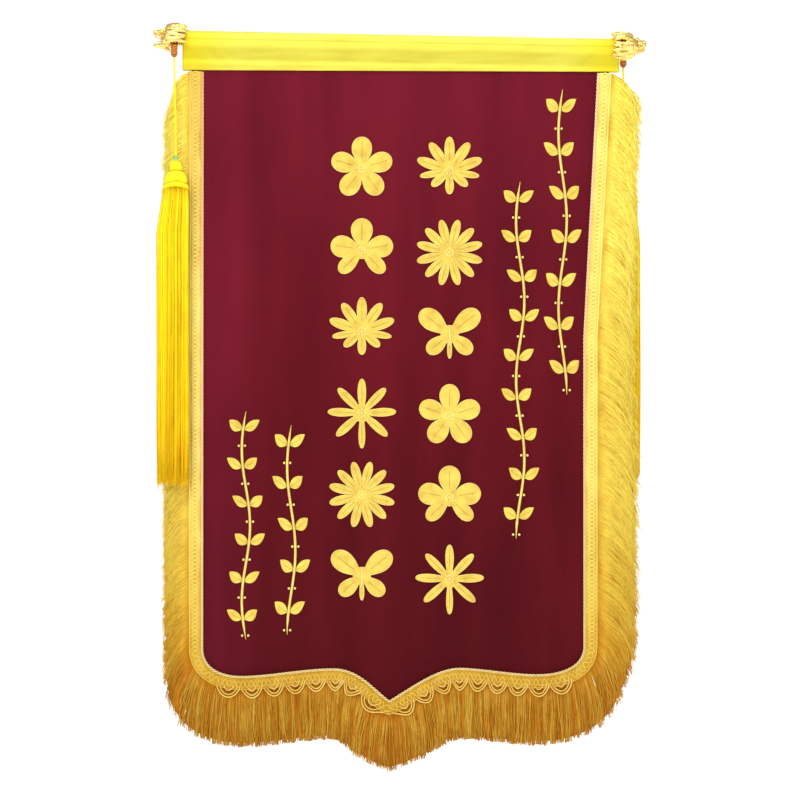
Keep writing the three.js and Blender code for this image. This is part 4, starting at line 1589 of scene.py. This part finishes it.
@dataclass
class Tassel:
    """A tie of cord round a finial's neck, its hanging cord, a bead and a long silk tassel."""

    side: Side
    tie_x: float
    x: float
    head_top: float
    foot: float
    y: float
    shank_y: float
    drift: float
    seed: int
    collar_start: float = 321.2
    neck: float = 10.5
    clear: float = 0.3
    tie_cord: float = 1.8
    tie_span: tuple[float, float] = (3.4, 10.6)
    tie_sides: int = 14
    shank_long: float = 19.0
    wraps: float = 5.0
    shank_span: tuple[float, float] = (-18.0, -1.0)
    shank_steps: int = 170
    shank_strand: float = 0.85
    shank_sunk: float = 0.75
    shank_rows: tuple[tuple[float, float], ...] = (
        (0.4, 0), (3.4, -0.3), (4.6, -2.2), (5.2, -5), (4.9, -8), (4.3, -9.2), (5, -10.8),
        (5.1, -13), (4.9, -15), (3.9, -17.2), (3, -18.8), (0.4, -19),
    )
    cord_radius: float = 1.4
    bead_radius: float = 3.6
    flat: float = 0.46
    head_rows: tuple[tuple[float, float], ...] = (
        (0.3, 0), (4.5, -1), (7, -3), (8.4, -6.4), (8.9, -10), (8.2, -12.6), (7.4, -14), (10.6, -15.4),
        (13.5, -18.5), (15.6, -22.2), (16.3, -26), (15.6, -28.8), (14.8, -30.2), (17.2, -31.4), (18.6, -33.6),
        (19.2, -38), (0.3, -38.2),
    )
    droop: float = 4.0
    across: float = 20.6
    deep: float = 7.6
    threads: int = 1250
    steps: int = 7
    locks: int = 26

    def where(self) -> str:
        """The side's name, as the solids' names end."""
        return self.side.name.lower()

    def route(self, lines: Lines) -> np.ndarray:
        """The cord's centreline, from the shank's foot to the tassel's head."""
        shank_foot = float(lines.rod.height(self.tie_x)) - self.neck - self.clear - self.shank_long
        top, end = shank_foot - self.clear, self.head_top + self.clear
        middle = ((self.tie_x + self.x) / 2, (self.shank_y + self.y) / 2, top + (end - top) * 0.42)
        knots = [
            (self.tie_x, self.shank_y, top),
            (self.tie_x, self.shank_y, top - 10),
            middle,
            (self.x, self.y, end + 34),
            (self.x, self.y, end),
        ]
        return spline(knots, 12)

    def cord(
        self, lines: Lines, finish: bpy.types.Material, beads: Sequence[bpy.types.Object]
    ) -> bpy.types.Object:
        """Args:
            lines: The banner's lines.
            finish: Its material.
            beads: Not used.

        Returns:
            The piece.
        """
        path = self.route(lines)
        length = float(np.linalg.norm(np.diff(path, axis=0), axis=1).sum())
        fine = spline(path[::2], 6)
        draft = Draft()
        plies = plied(fine, ALONG_ROD, self.cord_radius * 0.5, length / 7, 3)
        draft.tubes(plies, self.cord_radius * 0.55, 6, ALONG_ROD, tone=[0.5, 0.7, 0.35])
        draft.tubes(fine, self.cord_radius * 0.6, 6, ALONG_ROD, tone=0.3)
        made = draft.build("cord_" + self.where(), [finish])
        finish_piece(made, Slot.TASSEL, "tassel_cord_" + self.where())
        LOG.info("cord %s: %.1f mm", self.where(), length)
        return made

    def bead(self, finish: bpy.types.Material) -> bpy.types.Object:
        """Makes the glass bead, bored for the cord."""
        hole = self.cord_radius + 2 * self.clear
        tilt = math.acos(hole / self.bead_radius)
        turn = np.linspace(-tilt, tilt, 17)
        outer = np.stack([self.bead_radius * np.cos(turn), self.bead_radius * np.sin(turn)], 1)
        inner = np.stack([np.full(5, hole), np.linspace(outer[-1, 1], outer[0, 1], 5)], 1)[1:-1]
        profile = np.concatenate([outer, inner])
        angle = circle(28)
        rings = np.stack(
            [
                profile[:, :1] * np.cos(angle),
                profile[:, :1] * np.sin(angle),
                np.broadcast_to(profile[:, 1:], (len(profile), 28)),
            ],
            2,
        )
        draft = Draft()
        centre = (self.x, self.y, self.head_top + self.bead_radius + 2 * self.clear)
        draft.add(rings + np.array(centre), [lattice(len(profile), 28, round_rows=True, round_columns=True)])
        made = draft.build("bead_" + self.where(), [finish])
        return finish_piece(made, Slot.BEAD, "tassel_bead_" + self.where())

    def tie(self, lines: Lines, finish: bpy.types.Material) -> bpy.types.Object:
        """Makes the two turns of cord and the wrapped shank."""
        draft = Draft()
        inner = (self.neck + self.clear) / math.cos(math.pi / self.tie_sides)
        turn = np.linspace(0, 2 * math.pi, 97)[:-1]
        for offset in (self.tie_span[0] + self.tie_cord, self.tie_span[1] - self.tie_cord):
            x = self.side.value * (self.collar_start + offset)
            ring = (inner + self.tie_cord) * np.stack([0 * turn, np.sin(turn), np.cos(turn)], 1)
            middle = ring @ lines.rod.turn().T + np.array([x, 0, lines.rod.height(x)])
            along = tangents(middle[None], True)[0]
            side = unit(np.cross(along, ALONG_ROD))
            over = np.cross(along, side)
            for ply in (0, 1, 2):
                wind = 14 * turn + 2 * math.pi * ply / 3
                strand = middle + 0.8 * (np.cos(wind)[:, None] * side + np.sin(wind)[:, None] * over)
                draft.tubes(strand, 0.98, 6, ALONG_ROD, tone=0.3 + 0.25 * ply, closed=True)
        rows = np.array(self.shank_rows)[::-1]
        height = np.linspace(rows[0, 1], rows[-1, 1], 90)
        radius = np.interp(height, rows[:, 1], rows[:, 0]) - 0.9
        top = float(lines.rod.height(self.tie_x)) - self.neck - self.clear
        centre = np.array([self.tie_x, self.shank_y, top])
        draft.lathe(np.stack([np.maximum(radius, 0.3), height], 1), 20, centre, tone=0.1)
        for ply, tone in ((0, 0.25), (1, 0.8)):
            low, high = self.shank_span
            level = np.linspace(low, high, self.shank_steps)
            around = math.pi * ply + 2 * math.pi * self.wraps * (level - low) / (high - low)
            wide = np.interp(level, rows[:, 1], rows[:, 0]) - self.shank_sunk
            wound = np.stack([wide * np.cos(around), wide * np.sin(around), level], 1)
            draft.tubes(centre + wound, self.shank_strand, 6, UP, tone=tone)
        made = draft.build("tie_" + self.where(), [finish])
        return finish_piece(made, Slot.TIE, "tassel_tie_" + self.where())

    def head(self, draft: Draft) -> None:
        """Adds the bound head: three swellings of upright threads between turns of binding."""
        rows = np.array(self.head_rows)[::-1]
        height = np.linspace(rows[0, 1], rows[-1, 1], 84)
        radius = np.interp(height, rows[:, 1], rows[:, 0])
        bound = np.exp(-(((height + 14) / 1.6) ** 2)) + np.exp(-(((height + 30) / 1.6) ** 2))
        sides = 72
        turn = circle(sides)
        ribs = 0.3 * (1 - np.clip(bound, 0, 1))[:, None] * np.cos(24 * turn)[None]
        wraps = (0.25 * np.clip(bound, 0, 1) * np.sin(height * 6))[:, None]
        reach = np.maximum(radius[:, None] + (ribs + wraps) * np.clip(radius / 8, 0, 1)[:, None], 0.2)
        x = reach * np.cos(turn)
        y = reach * np.sin(turn) * self.flat
        fallen = self.droop * (np.cos(turn)[None] * np.clip(radius / 17, 0, 1)[:, None]) ** 2
        z = height[:, None] - fallen * smooth_share(-height / 10)[:, None]
        # Painted shade: the tone drops at the turns of binding, darkening the creases below each swelling.
        tone = np.repeat(0.6 - 0.6 * np.clip(bound, 0, 1), sides)
        draft.sweep(np.stack([self.x + x, self.y + y, self.head_top + z], 2), tone)

    def skirt(self, draft: Draft) -> None:
        """Adds the straight fall of threads, in soft locks round a heart painted darker as shade."""
        rng = np.random.default_rng(self.seed)
        n = self.threads
        foot = self.head_top + self.head_rows[-1][1]
        k = np.linspace(0, 1, self.steps + 1)
        heights = np.array([4.0, -20.0, -66.0])
        drop = self.foot - foot
        levels = np.concatenate([heights, np.linspace(-66, drop, self.steps - 1)[1:]])
        wide = np.interp(-levels, [-4, 66, -drop], [0.76, 1.0, 0.98])
        drift = self.drift * smooth_share(-levels / 66)
        angle = rng.random(n) * 2 * math.pi
        lock = np.floor(angle / (2 * math.pi) * self.locks)
        led = (lock + 0.5) / self.locks * 2 * math.pi
        angle = angle + (led - angle) * 0.45 * rng.random(n)
        share = np.sqrt(0.3 + 0.7 * rng.random(n))
        beat = rng.random(self.locks)[lock.astype(int)][:, None]
        sway = 0.9 * np.sin(2 * math.pi * (k[None] * 1.3 + beat)) * k
        stray = rng.normal(0, 0.5, (n, 1)) * k
        x = self.x + drift + self.across * wide * (share * np.cos(angle))[:, None] + sway + stray
        y = self.y + self.deep * np.minimum(1, wide + 0.05) * (share * np.sin(angle))[:, None] + 0.5 * stray
        ragged = 4 * np.sin(lock * 3.7) + rng.normal(0, 2.2, n) - 10 * rng.random(n) ** 8
        z = foot + levels[None] + ragged[:, None] * np.linspace(0, 1, len(levels)) ** 3
        tone = np.clip(0.5 + 0.2 * rng.normal(0, 1, n) + 0.12 * np.sin(lock * 2.3), 0, 1)
        draft.tubes(np.stack([x, y, z], 2), 0.56 * (1 - 0.4 * k**4)[None], 3, TO_VIEWER, tone=tone)
        # Painted shade: a core of low tone inside the threads, for the shadowed inside of the tassel.
        turn = circle(24)
        rings = [
            np.stack(
                [
                    self.x + d + 0.8 * self.across * w * np.cos(turn),
                    self.y + 0.72 * self.deep * w * np.sin(turn),
                    np.full(24, foot + level * 0.985),
                ],
                1,
            )
            for level, w, d in zip(levels[::-1], wide[::-1], drift[::-1])
        ]
        draft.sweep(np.array(rings), 0.12)

    def build(self, finish: bpy.types.Material) -> bpy.types.Object:
        """Makes the tassel itself.

        Args:
            finish: Its material.

        Returns:
            The piece.
        """
        draft = Draft()
        self.head(draft)
        self.skirt(draft)
        made = draft.build("silk_tassel_" + self.where(), [finish])
        return finish_piece(made, Slot.TASSEL, "tassel_" + self.where())


@dataclass
class Finial:
    """A gold dragon's head with open jaws, drawn along +X from its collar, crest towards +Z."""

    side: Side
    roll: float
    start: float = 321.2
    voxel: float = 0.82
    collar_rows: tuple[tuple[float, float], ...] = (
        (8.4, 14.3), (8.4, 0), (11.6, 0), (12.5, 0.6), (12.5, 1.5), (11.8, 2), (10.5, 2.6), (10.5, 11.6),
        (11.8, 12), (12.5, 12.6), (12.5, 14.2), (11.6, 15),
    )
    upper_jaw: tuple[tuple[float, float, float, float], ...] = (
        (16, -1, 12, 8.5), (21, -1, 11.4, 8), (25, 0.5, 10, 6.9), (28, 2, 8.4, 5.6), (31, 3.2, 8.2, 5.2),
        (34.5, 4.2, 9.2, 5), (37, 4.9, 8.6, 4.2), (38.2, 5.6, 7.4, 3),
    )
    lower_jaw: tuple[tuple[float, float, float, float], ...] = (
        (14, -14, -6, 7.5), (20, -16.5, -8, 6.8), (24, -17, -9.4, 6.1), (28, -16.8, -10.6, 5.2),
        (31, -16.4, -11.2, 4.6), (34.5, -15.6, -10.8, 4), (37.4, -14.4, -11.2, 2.8),
    )
    lumps: tuple[tuple[float, ...], ...] = (
        (19, 0, 0, 8.5, 12.5, 14, 0), (23.5, 7, 9.6, 4.6, 2.6, 2.2, 1), (18, 11, -2, 4.5, 3.4, 6, 1),
        (21, 10.5, -8, 3.4, 2.6, 3.4, 1), (35.4, 3.3, 8.6, 2.4, 2.1, 2.2, 1), (28, 5, 8, 3, 2, 1.8, 1),
        (16, 0, 11, 5, 6, 4, 0), (17, 0, -12, 5, 6, 4, 0), (30, 0, 8.6, 5, 2.4, 1.8, 0),
    )
    horns: tuple[tuple[tuple[float, float, float], tuple[float, float, float], float, float, int], ...] = (
        ((18, 5.5, 10), (5, 8.5, 18.6), 2.7, 1.2, 1),
        ((22, 0, 9), (8, 0, 19.6), 3.2, 1.2, 0),
        ((20, 2.4, 11), (11, 4, 18), 2.6, -1.0, 1),
        ((20, 0, -12), (12, 0, -20.4), 2.8, -2.0, 0),
        ((24, 3.4, -13), (15.6, 5.4, -19.8), 2.1, -1.4, 1),
    )
    mane: tuple[float, ...] = (11, 25, 40, 55, 70, 85, 100, 115)
    mane_root: float = 18.0
    mane_long: tuple[float, float] = (30.0, 2.0)
    mane_away: tuple[float, float, float] = (15.4, 1.2, 2.4)
    mane_sway: float = 0.07
    mane_thick: tuple[float, float] = (2.7, 0.5)
    whisker: tuple[tuple[float, float, float], ...] = (
        (35, 4.4, 5.4), (36.5, 7.4, 3), (32, 9.6, 0), (26, 11.2, -1.6), (21, 13, 1),
    )
    tongue: tuple[tuple[float, float, float], ...] = (
        (18, 0, -7), (24, 0, -6), (29, 0, -6.4), (33, 0, -5), (35.6, 0, -2.6),
    )

    def jaw(self, draft: Draft, rows: Sequence[Sequence[float]]) -> None:
        """Adds a jaw from rows of X, low, high and half width."""
        turn = circle(16)
        rings = []
        for x, low, high, half in rows:
            across = half * np.sign(np.cos(turn)) * np.abs(np.cos(turn)) ** 0.6
            up = (high + low) / 2 + (high - low) / 2 * np.sign(np.sin(turn)) * np.abs(np.sin(turn)) ** 0.6
            rings.append(np.stack([np.full(16, float(x)), across, up], 1))
        draft.sweep(np.array(rings))

    def flesh(self) -> Draft:
        """The head fused from its skull, jaws, horns and mane."""
        draft = Draft()
        self.jaw(draft, self.upper_jaw)
        self.jaw(draft, self.lower_jaw)
        for x, y, z, long, wide, high, paired in self.lumps:
            for side in (1, -1) if paired else (1,):
                draft.ball((x, side * y, z), (long, wide, high), 20)
        share = np.linspace(0, 1, 10)
        for foot, tip, radius, bow, paired in self.horns:
            for side in (1, -1) if paired else (1,):
                turned = np.array([1, side, 1])
                path = np.array(foot) * turned + np.outer(share, (np.array(tip) - np.array(foot)) * turned)
                path[:, 2] += bow * np.sin(math.pi * share)
                draft.tubes(path, (radius * (1 - share) ** 0.75 + 0.35)[None], 10, (0, 1, 0.2))
        long, varied = self.mane_long
        near, rise, bulge = self.mane_away
        thick, tip_thick = self.mane_thick
        for degrees in self.mane:
            for side in (1, -1):
                turn = math.radians(degrees) * side
                x = self.mane_root - (long + varied * math.sin(degrees)) * share
                away = near + rise * share + bulge * np.sin(math.pi * share) ** 0.7
                bend = turn + self.mane_sway * side * np.sin(2 * math.pi * share + degrees)
                path = np.stack([x, away * np.sin(bend), away * np.cos(bend)], 1)
                radii = thick * (1 - share**3) ** 0.7 + tip_thick
                draft.tubes(path, radii[None], 10, (0, math.cos(turn), -math.sin(turn)))
        return draft.melt(self.voxel, 3)

    @staticmethod
    def tooth(
        draft: Draft, places: Sequence[float], y: float, heights: Sequence[float], radii: Sequence[float]
    ) -> None:
        """Adds a tooth from X, height and radius of its root, middle and tip."""
        path = np.stack([np.array(places), np.full(len(places), y), np.array(heights)], 1)
        draft.tubes(path, np.array([radii]), 6, (0, 1, 0))

    def features(self, draft: Draft) -> None:
        """Adds the eyes, teeth, tongue and whiskers."""
        for side in (1, -1):
            draft.ball((24.4, side * 8.1, 6.9), (2.2, 1.9, 2.2), 14)
            draft.ball((25.3, side * 9.4, 7.0), (0.9, 0.7, 0.9), 8)
            for i in range(6):
                x = 24.5 + i * 2.2
                long = 3.6 if i in (2, 5) else 2.2
                root = np.interp(x, [25, 31, 38], [1.2, 3.8, 5.6])
                half = np.interp(x, [25, 31, 38], [5.9, 4.4, 3.0])
                heights = (root + 0.8, root - long * 0.6, root - long)
                self.tooth(draft, (x, x - 0.3, x - 0.7), side * half, heights, (0.95, 0.6, 0.15))
                low = np.interp(x, [24, 31, 37], [-9.4, -11.2, -11.2])
                half = np.interp(x, [24, 31, 37], [5.2, 3.8, 2.4])
                heights = (low - 0.6, low + 1.2, low + 2.2)
                self.tooth(draft, (x, x, x - 0.4), side * half, heights, (0.85, 0.55, 0.15))
            whisker = spline([(x, side * y, z) for x, y, z in self.whisker], 6)
            draft.tubes(whisker, (0.85 - 0.5 * np.linspace(0, 1, len(whisker)))[None], 6, UP)
        tongue = spline(self.tongue, 5)
        wide = 3.0 * (1 - 0.75 * np.linspace(0, 1, len(tongue)))
        draft.tubes(tongue, wide[None], 8, (0, 0.02, 1), flat=0.4)

    def collar(self, draft: Draft) -> None:
        """Adds the turned collar with its blind bore."""
        rows = np.array(self.collar_rows)
        turn = circle(48)
        rings = np.stack(
            [
                np.broadcast_to(rows[:, 1:], (len(rows), 48)),
                rows[:, :1] * np.cos(turn),
                rows[:, :1] * np.sin(turn),
            ],
            2,
        )
        draft.add(rings, [lattice(len(rows), 48, round_rows=True, round_columns=True)])

    def build(self, lines: Lines, flesh: Draft, finish: bpy.types.Material) -> bpy.types.Object:
        """Makes the finial at its end of the rod.

        Args:
            lines: The banner's lines.
            flesh: The fused head, which both finials share.
            finish: Its material.

        Returns:
            The piece.
        """
        draft = flesh.turned(np.eye(3), (0, 0, 0))
        self.features(draft)
        self.collar(draft)
        c, s = math.cos(math.radians(self.roll)), math.sin(math.radians(self.roll))
        rolled = np.array([[1, 0, 0], [0, c, -s], [0, s, c]])
        facing = np.diag([self.side.value, self.side.value, 1.0])
        slope = lines.rod.turn()
        middle = slope @ np.array([self.side.value * self.start, 0, 0])
        where = self.side.name.lower()
        made = draft.turned(slope @ facing @ rolled, middle).build("dragon_" + where, [finish])
        return finish_piece(made, Slot.GILT, "finial_" + where)


@dataclass
class Rod:
    """The wooden rod that the sleeve hangs on."""

    sides: int = 48

    def build(self, lines: Lines) -> bpy.types.Object:
        """Makes the rod with softly rounded ends."""
        rod = lines.rod
        ends = [(rod.radius - 0.6, 0.0), (rod.radius, 0.6)]
        rows = [(r, -rod.half + u) for r, u in ends] + [(r, rod.half - u) for r, u in ends[::-1]]
        turn = circle(self.sides)
        rounds = [(np.full(self.sides, x), r * np.cos(turn), r * np.sin(turn)) for r, x in rows]
        rings = np.array([np.stack(ring, 1) for ring in rounds])
        draft = Draft()
        draft.sweep(rings @ rod.turn().T)
        made = draft.build("wood_rod", [WoodFinish().material()])
        return finish_piece(made, Slot.ROD, "rod")


@dataclass(frozen=True)
class PetalFan:
    """A fan of petals: how many, its width and middle in degrees, and each one's shape."""

    petals: int
    fan: float
    at: float
    long: float
    half: float
    blunt: float


class MotifKind(Enum):
    """The flowers, clouds and butterflies, each as its fans of petals."""

    PLUM = (PetalFan(5, 288, 90, 46, 34, 0.5),)
    ASTER = (PetalFan(12, 330, 90, 49, 15, 0.7),)
    LOTUS = (
        PetalFan(5, 140, 90, 50, 20, 1.1),
        PetalFan(2, 200, 90, 44, 14, 1.1),
        PetalFan(3, 100, 270, 34, 20, 0.8),
    )
    CLOUD = (PetalFan(3, 160, 90, 46, 36, 0.45), PetalFan(2, 90, 270, 46, 26, 0.6))
    SPRAY = (PetalFan(7, 264, 90, 50, 17, 1.2), PetalFan(1, 0, 270, 52, 12, 1.0))
    BUTTERFLY = (
        PetalFan(2, 104, 90, 54, 30, 0.5),
        PetalFan(2, 100, 270, 42, 28, 0.5),
        PetalFan(1, 0, 270, 36, 10, 0.8),
    )


@dataclass
class Motif:
    """One stitched motif, laid on the velvet: a padded ground, a corded rim, veins and knots."""

    name: str
    kind: MotifKind
    x: float
    z: float
    hub: float = 13.0
    back: float = -1.1
    edge_lift: float = 0.9
    crown: float = 1.1
    angles: int = 168

    def petals(self) -> list[tuple[float, PetalFan]]:
        """Each petal's middle, in radians, with its fan."""
        made = []
        for row in self.kind.value:
            for i in range(row.petals):
                share = 0 if row.petals == 1 else i / (row.petals - 1) - 0.5
                made.append((math.radians(row.at + row.fan * share), row))
        return made

    def reach(self, angle: np.ndarray) -> np.ndarray:
        """How far the outline lies from the motif's middle.

        Args:
            angle: Angles about the middle, in radians.

        Returns:
            A radius for each.
        """
        radius = np.full(angle.shape, self.hub)
        for middle, row in self.petals():
            half = math.radians(row.half)
            off = np.abs((angle - middle + math.pi) % (2 * math.pi) - math.pi)
            swell = np.clip(np.cos(off / half * math.pi / 2), 0, None) ** row.blunt
            grown = self.hub + (row.long - self.hub) * swell
            radius = np.maximum(radius, np.where(off < half, grown, self.hub))
        return radius

    def lay(self, lines: Lines, x: np.ndarray, z: np.ndarray, lift: np.ndarray | float) -> np.ndarray:
        """Places on the velvet, that far proud of the motif's back."""
        over, up = self.x + x, self.z + z
        return np.stack([over, self.back - lift + lines.fold.at(over, up), up], -1)

    def ground(self, draft: Draft, lines: Lines) -> None:
        """Adds the padded ground, which is lowest at its rim and between petals."""
        angle = circle(self.angles)
        radius = self.reach(angle)
        shares = np.array([0.04, 0.25, 0.5, 0.7, 0.85, 0.95, 1.0])[:, None]
        lift = self.edge_lift + self.crown * (1 - shares**3) * (0.55 + 0.45 * radius / radius.max())
        front = self.lay(lines, shares * radius * np.cos(angle), shares * radius * np.sin(angle), lift)
        rim = self.lay(lines, radius * np.cos(angle), radius * np.sin(angle), 0.0)
        inner = self.lay(lines, 0.04 * radius * np.cos(angle), 0.04 * radius * np.sin(angle), 0.0)
        draft.sweep(np.concatenate([front, rim[None], inner[None]]), 0.45)

    def stitches(self, draft: Draft, lines: Lines) -> None:
        """Adds the corded rim, a vein down each petal and the knots at the middle."""
        angle = circle(self.angles)
        radius = self.reach(angle) - 0.5
        rim = self.lay(lines, radius * np.cos(angle), radius * np.sin(angle), self.edge_lift + 0.15)
        draft.tubes(rim, 0.75, 5, tone=0.85, closed=True)
        share = np.linspace(0.3, 0.84, 9)
        for middle, row in self.petals():
            radius = share * row.long
            lift = self.edge_lift + self.crown * (1 - share**3) * 0.95 + 0.1
            vein = self.lay(lines, radius * np.cos(middle), radius * np.sin(middle), lift)
            draft.tubes(vein, (0.75 - 0.4 * share)[None], 5, tone=0.15)
        spots = [(0.0, 0.0)] + [(5.2 * math.cos(a), 5.2 * math.sin(a)) for a in np.arange(8) * math.pi / 4]
        if self.kind is MotifKind.BUTTERFLY:
            spots = [(0.0, 9.0 - 3.4 * i) for i in range(8)]
        for dx, dz in spots:
            centre = self.lay(lines, np.array(dx), np.array(dz), self.edge_lift + self.crown + 0.1)
            draft.ball(centre, (1.9, 0.9, 1.9), 10, tone=0.95)

    def build(self, lines: Lines, finish: bpy.types.Material) -> bpy.types.Object:
        """Makes the motif.

        Args:
            lines: The banner's lines.
            finish: Its material.

        Returns:
            The piece.
        """
        draft = Draft()
        self.ground(draft, lines)
        self.stitches(draft, lines)
        return finish_piece(draft.build(self.name + "_stitched", [finish]), Slot.APPLIQUE, self.name)


@dataclass
class Garland:
    """A slender stitched stem that sways down the velvet, with a leaf to either side at each turn."""

    name: str
    x: float
    top: float
    foot: float
    wave: float = 6.0
    pitch: float = 60.0
    leaf_long: float = 22.0
    leaf_tip: tuple[float, float] = (1.0, 0.22)
    leaf_rims: tuple[tuple[tuple[float, float], tuple[float, float]], ...] = (
        ((0.1, 0.42), (0.34, 0.17)),
        ((0.1, 0.48), (0.8, 0.64)),
    )
    back: float = -1.1

    def sway(self, z: np.ndarray, pitch: float) -> np.ndarray:
        """How far the stem stands to the right at a height."""
        return self.wave * np.sin(math.pi * (z - self.top) / (2 * pitch))

    def lay(self, lines: Lines, x: np.ndarray, z: np.ndarray, lift: np.ndarray | float) -> np.ndarray:
        """Places on the velvet, that far proud of the garland's back."""
        return np.stack(np.broadcast_arrays(x, self.back - lift + lines.fold.at(x, z), z), -1)

    def leaf(self, draft: Draft, lines: Lines, top: float, side: int, pitch: float) -> None:
        """Adds one leaf with its corded vein."""
        share = np.linspace(0, 1, 12)[:, None]
        weights = ((1 - share) ** 2, 2 * share * (1 - share), share**2)
        upper, lower = (
            sum(weight * np.array(spot) for weight, spot in zip(weights, (base, bow, self.leaf_tip)))
            for base, bow in self.leaf_rims
        )
        across = np.linspace(0, 1, 7)
        spots = upper[:, None] + (lower - upper)[:, None] * across[None, :, None]
        z = top - spots[..., 1] * pitch
        x = self.x + self.sway(z, pitch) + side * spots[..., 0] * self.leaf_long
        lift = 0.7 + 1.1 * np.sin(math.pi * across)[None] ** 0.6 * (1 - 0.5 * share)
        front, back = self.lay(lines, x, z, lift), self.lay(lines, x, z, 0.0)
        if side > 0:
            front, back = front.swapaxes(0, 1), back.swapaxes(0, 1)
        draft.slab(front, back, 0.5)
        vein = self.lay(lines, x[:10, 3], z[:10, 3], lift[:10, 3] + 0.1)
        draft.tubes(vein, (0.6 - 0.3 * np.linspace(0, 1, 10))[None], 5, tone=0.15)

    def build(self, lines: Lines, finish: bpy.types.Material) -> bpy.types.Object:
        """Makes the garland.

        Args:
            lines: The banner's lines.
            finish: Its material.

        Returns:
            The piece.
        """
        draft = Draft()
        leaves = round((self.top - self.foot) / self.pitch)
        pitch = (self.top - self.foot) / leaves
        z = np.linspace(self.top, self.foot, leaves * 14)
        stem = self.lay(lines, self.x + self.sway(z, pitch), z, 0.9)
        thick = 1.9 * np.clip(np.minimum(self.top - z + 3, z - self.foot + 3) / 24, 0.25, 1)
        draft.tubes(stem, thick[None], 8, tone=0.75, flat=0.7)
        for i in range(leaves):
            for side in (1, -1):
                self.leaf(draft, lines, self.top - i * pitch, side, pitch)
            bud = self.top - (i + 0.9) * pitch
            for side in (1, -1):
                x = self.x + self.sway(np.array(bud), pitch) + side * 4.4
                centre = self.lay(lines, x, np.array(bud), 1.0)
                draft.ball(centre, (1.9, 1.1, 1.9), 10, tone=0.95)
        return finish_piece(draft.build(self.name + "_stitched", [finish]), Slot.APPLIQUE, self.name)


@dataclass
class Banner:
    """The whole banner, piece by piece."""

    lines: Lines = field(default_factory=Lines)
    column_pitch: float = 119.0
    # The fringe's colours by height are partly dye and partly painted shade, deeper lower down, away from the
    # light above.
    fringe_dye_and_shade: tuple[tuple[float, str], ...] = (
        (-40, "ffec62"), (-300, "ffee6c"), (-450, "f8e05c"), (-700, "f2d654"), (-800, "e8c444"),
        (-880, "d8a62c"), (-950, "c08016"), (-1070, "bc7a10"),
    )

    def tassels(self) -> None:
        """Makes both tassels with their cords, beads and ties."""
        # The tassels' colours by height are partly dye and partly painted shade, deeper yellow lower down.
        yellow = ((-170, "ffee20"), (-400, "ffe016"), (-560, "ffd612"), (-640, "ffcc0c"))
        silk = SilkFinish("tassel_silk", yellow, deep="d8b44a", pale="ffee30", roughness=0.45).material()
        amber = ((-60, "c06a14"), (0, "d08024"))
        wrap = SilkFinish("tie_silk", amber, deep="8a5a30", pale="ffc070").material()
        glass = GlassFinish().material()
        pair = (
            Tassel(Side.LEFT, -328, -324, -176.5, -637, -23, -9, -4.5, seed=5, across=23.5),
            Tassel(Side.RIGHT, 327.6, 332, -192, -631, 21, 9, 1, seed=6),
        )
        for tassel in pair:
            bead = tassel.bead(glass)
            tassel.cord(self.lines, silk, [bead])
            tassel.tie(self.lines, wrap)
            tassel.build(silk)

    def heading(self) -> None:
        """Makes the rod, its finials and the satin sleeve."""
        Rod().build(self.lines)
        gilt = GiltFinish().material()
        left, right = Finial(Side.LEFT, 0.0), Finial(Side.RIGHT, 75.0)
        flesh = left.flesh()
        for finial in (left, right):
            finial.build(self.lines, flesh, gilt)
        SatinSleeve().build(self.lines)

    def cloth(self) -> None:
        """Makes the velvet with its braid and fringes."""
        VelvetPanel().build(self.lines)
        GimpBraid().build(self.lines)
        silk = SilkFinish("fringe_silk", self.fringe_dye_and_shade).material()
        runs = (
            Fringe("fringe_left", 0.0, 0.375, 55, (56, 56), 3050, 2.6, seed=1, short_start=0.6),
            Fringe("fringe_bottom", 0.375, 0.627, 65, (82, 82), 3500, 0.9, seed=2, radius=0.54),
            Fringe("fringe_right", 0.627, 1.0, 54, (88, 66), 3050, 2.6, seed=3),
        )
        for run in runs:
            run.build(self.lines, silk)

    def motifs(self) -> None:
        """Makes the two columns of motifs and the four garlands."""
        gold = GoldClothFinish().material()
        kind = MotifKind
        columns = (
            ("west", -55, -185, (kind.PLUM, kind.CLOUD, kind.LOTUS, kind.SPRAY, kind.ASTER, kind.BUTTERFLY)),
            ("east", 73, -189, (kind.LOTUS, kind.ASTER, kind.BUTTERFLY, kind.PLUM, kind.CLOUD, kind.SPRAY)),
        )
        for name, x, top, kinds in columns:
            for i, each in enumerate(kinds):
                Motif(f"motif_{name}_{i + 1}", each, x, top - i * self.column_pitch).build(self.lines, gold)
        garlands = (
            Garland("garland_right_outer", 238, -70, -515),
            Garland("garland_right_inner", 176, -205, -725),
            Garland("garland_left_inner", -158, -560, -865),
            Garland("garland_left_outer", -224, -540, -872),
        )
        for garland in garlands:
            garland.build(self.lines, gold)


def note_sizes() -> None:
    boxes = {"cad": CAD_BOX, "visual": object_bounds()}
    plain = {key: [list(low), list(high)] for key, (low, high) in boxes.items()}
    for key, (low, high) in plain.items():
        LOG.info("%s box: %s to %s", key, np.round(low, 4), np.round(high, 4))


def main() -> None:
    """Builds the camera, the cords and then every other piece, and notes the sizes."""
    logging.basicConfig(level=logging.INFO, format="%(message)s")
    studio = Studio()
    studio.camera()
    banner = Banner()
    banner.tassels()
    banner.heading()
    banner.cloth()
    banner.motifs()
    studio.build()
    note_sizes()


if __name__ == "__main__":
    main()
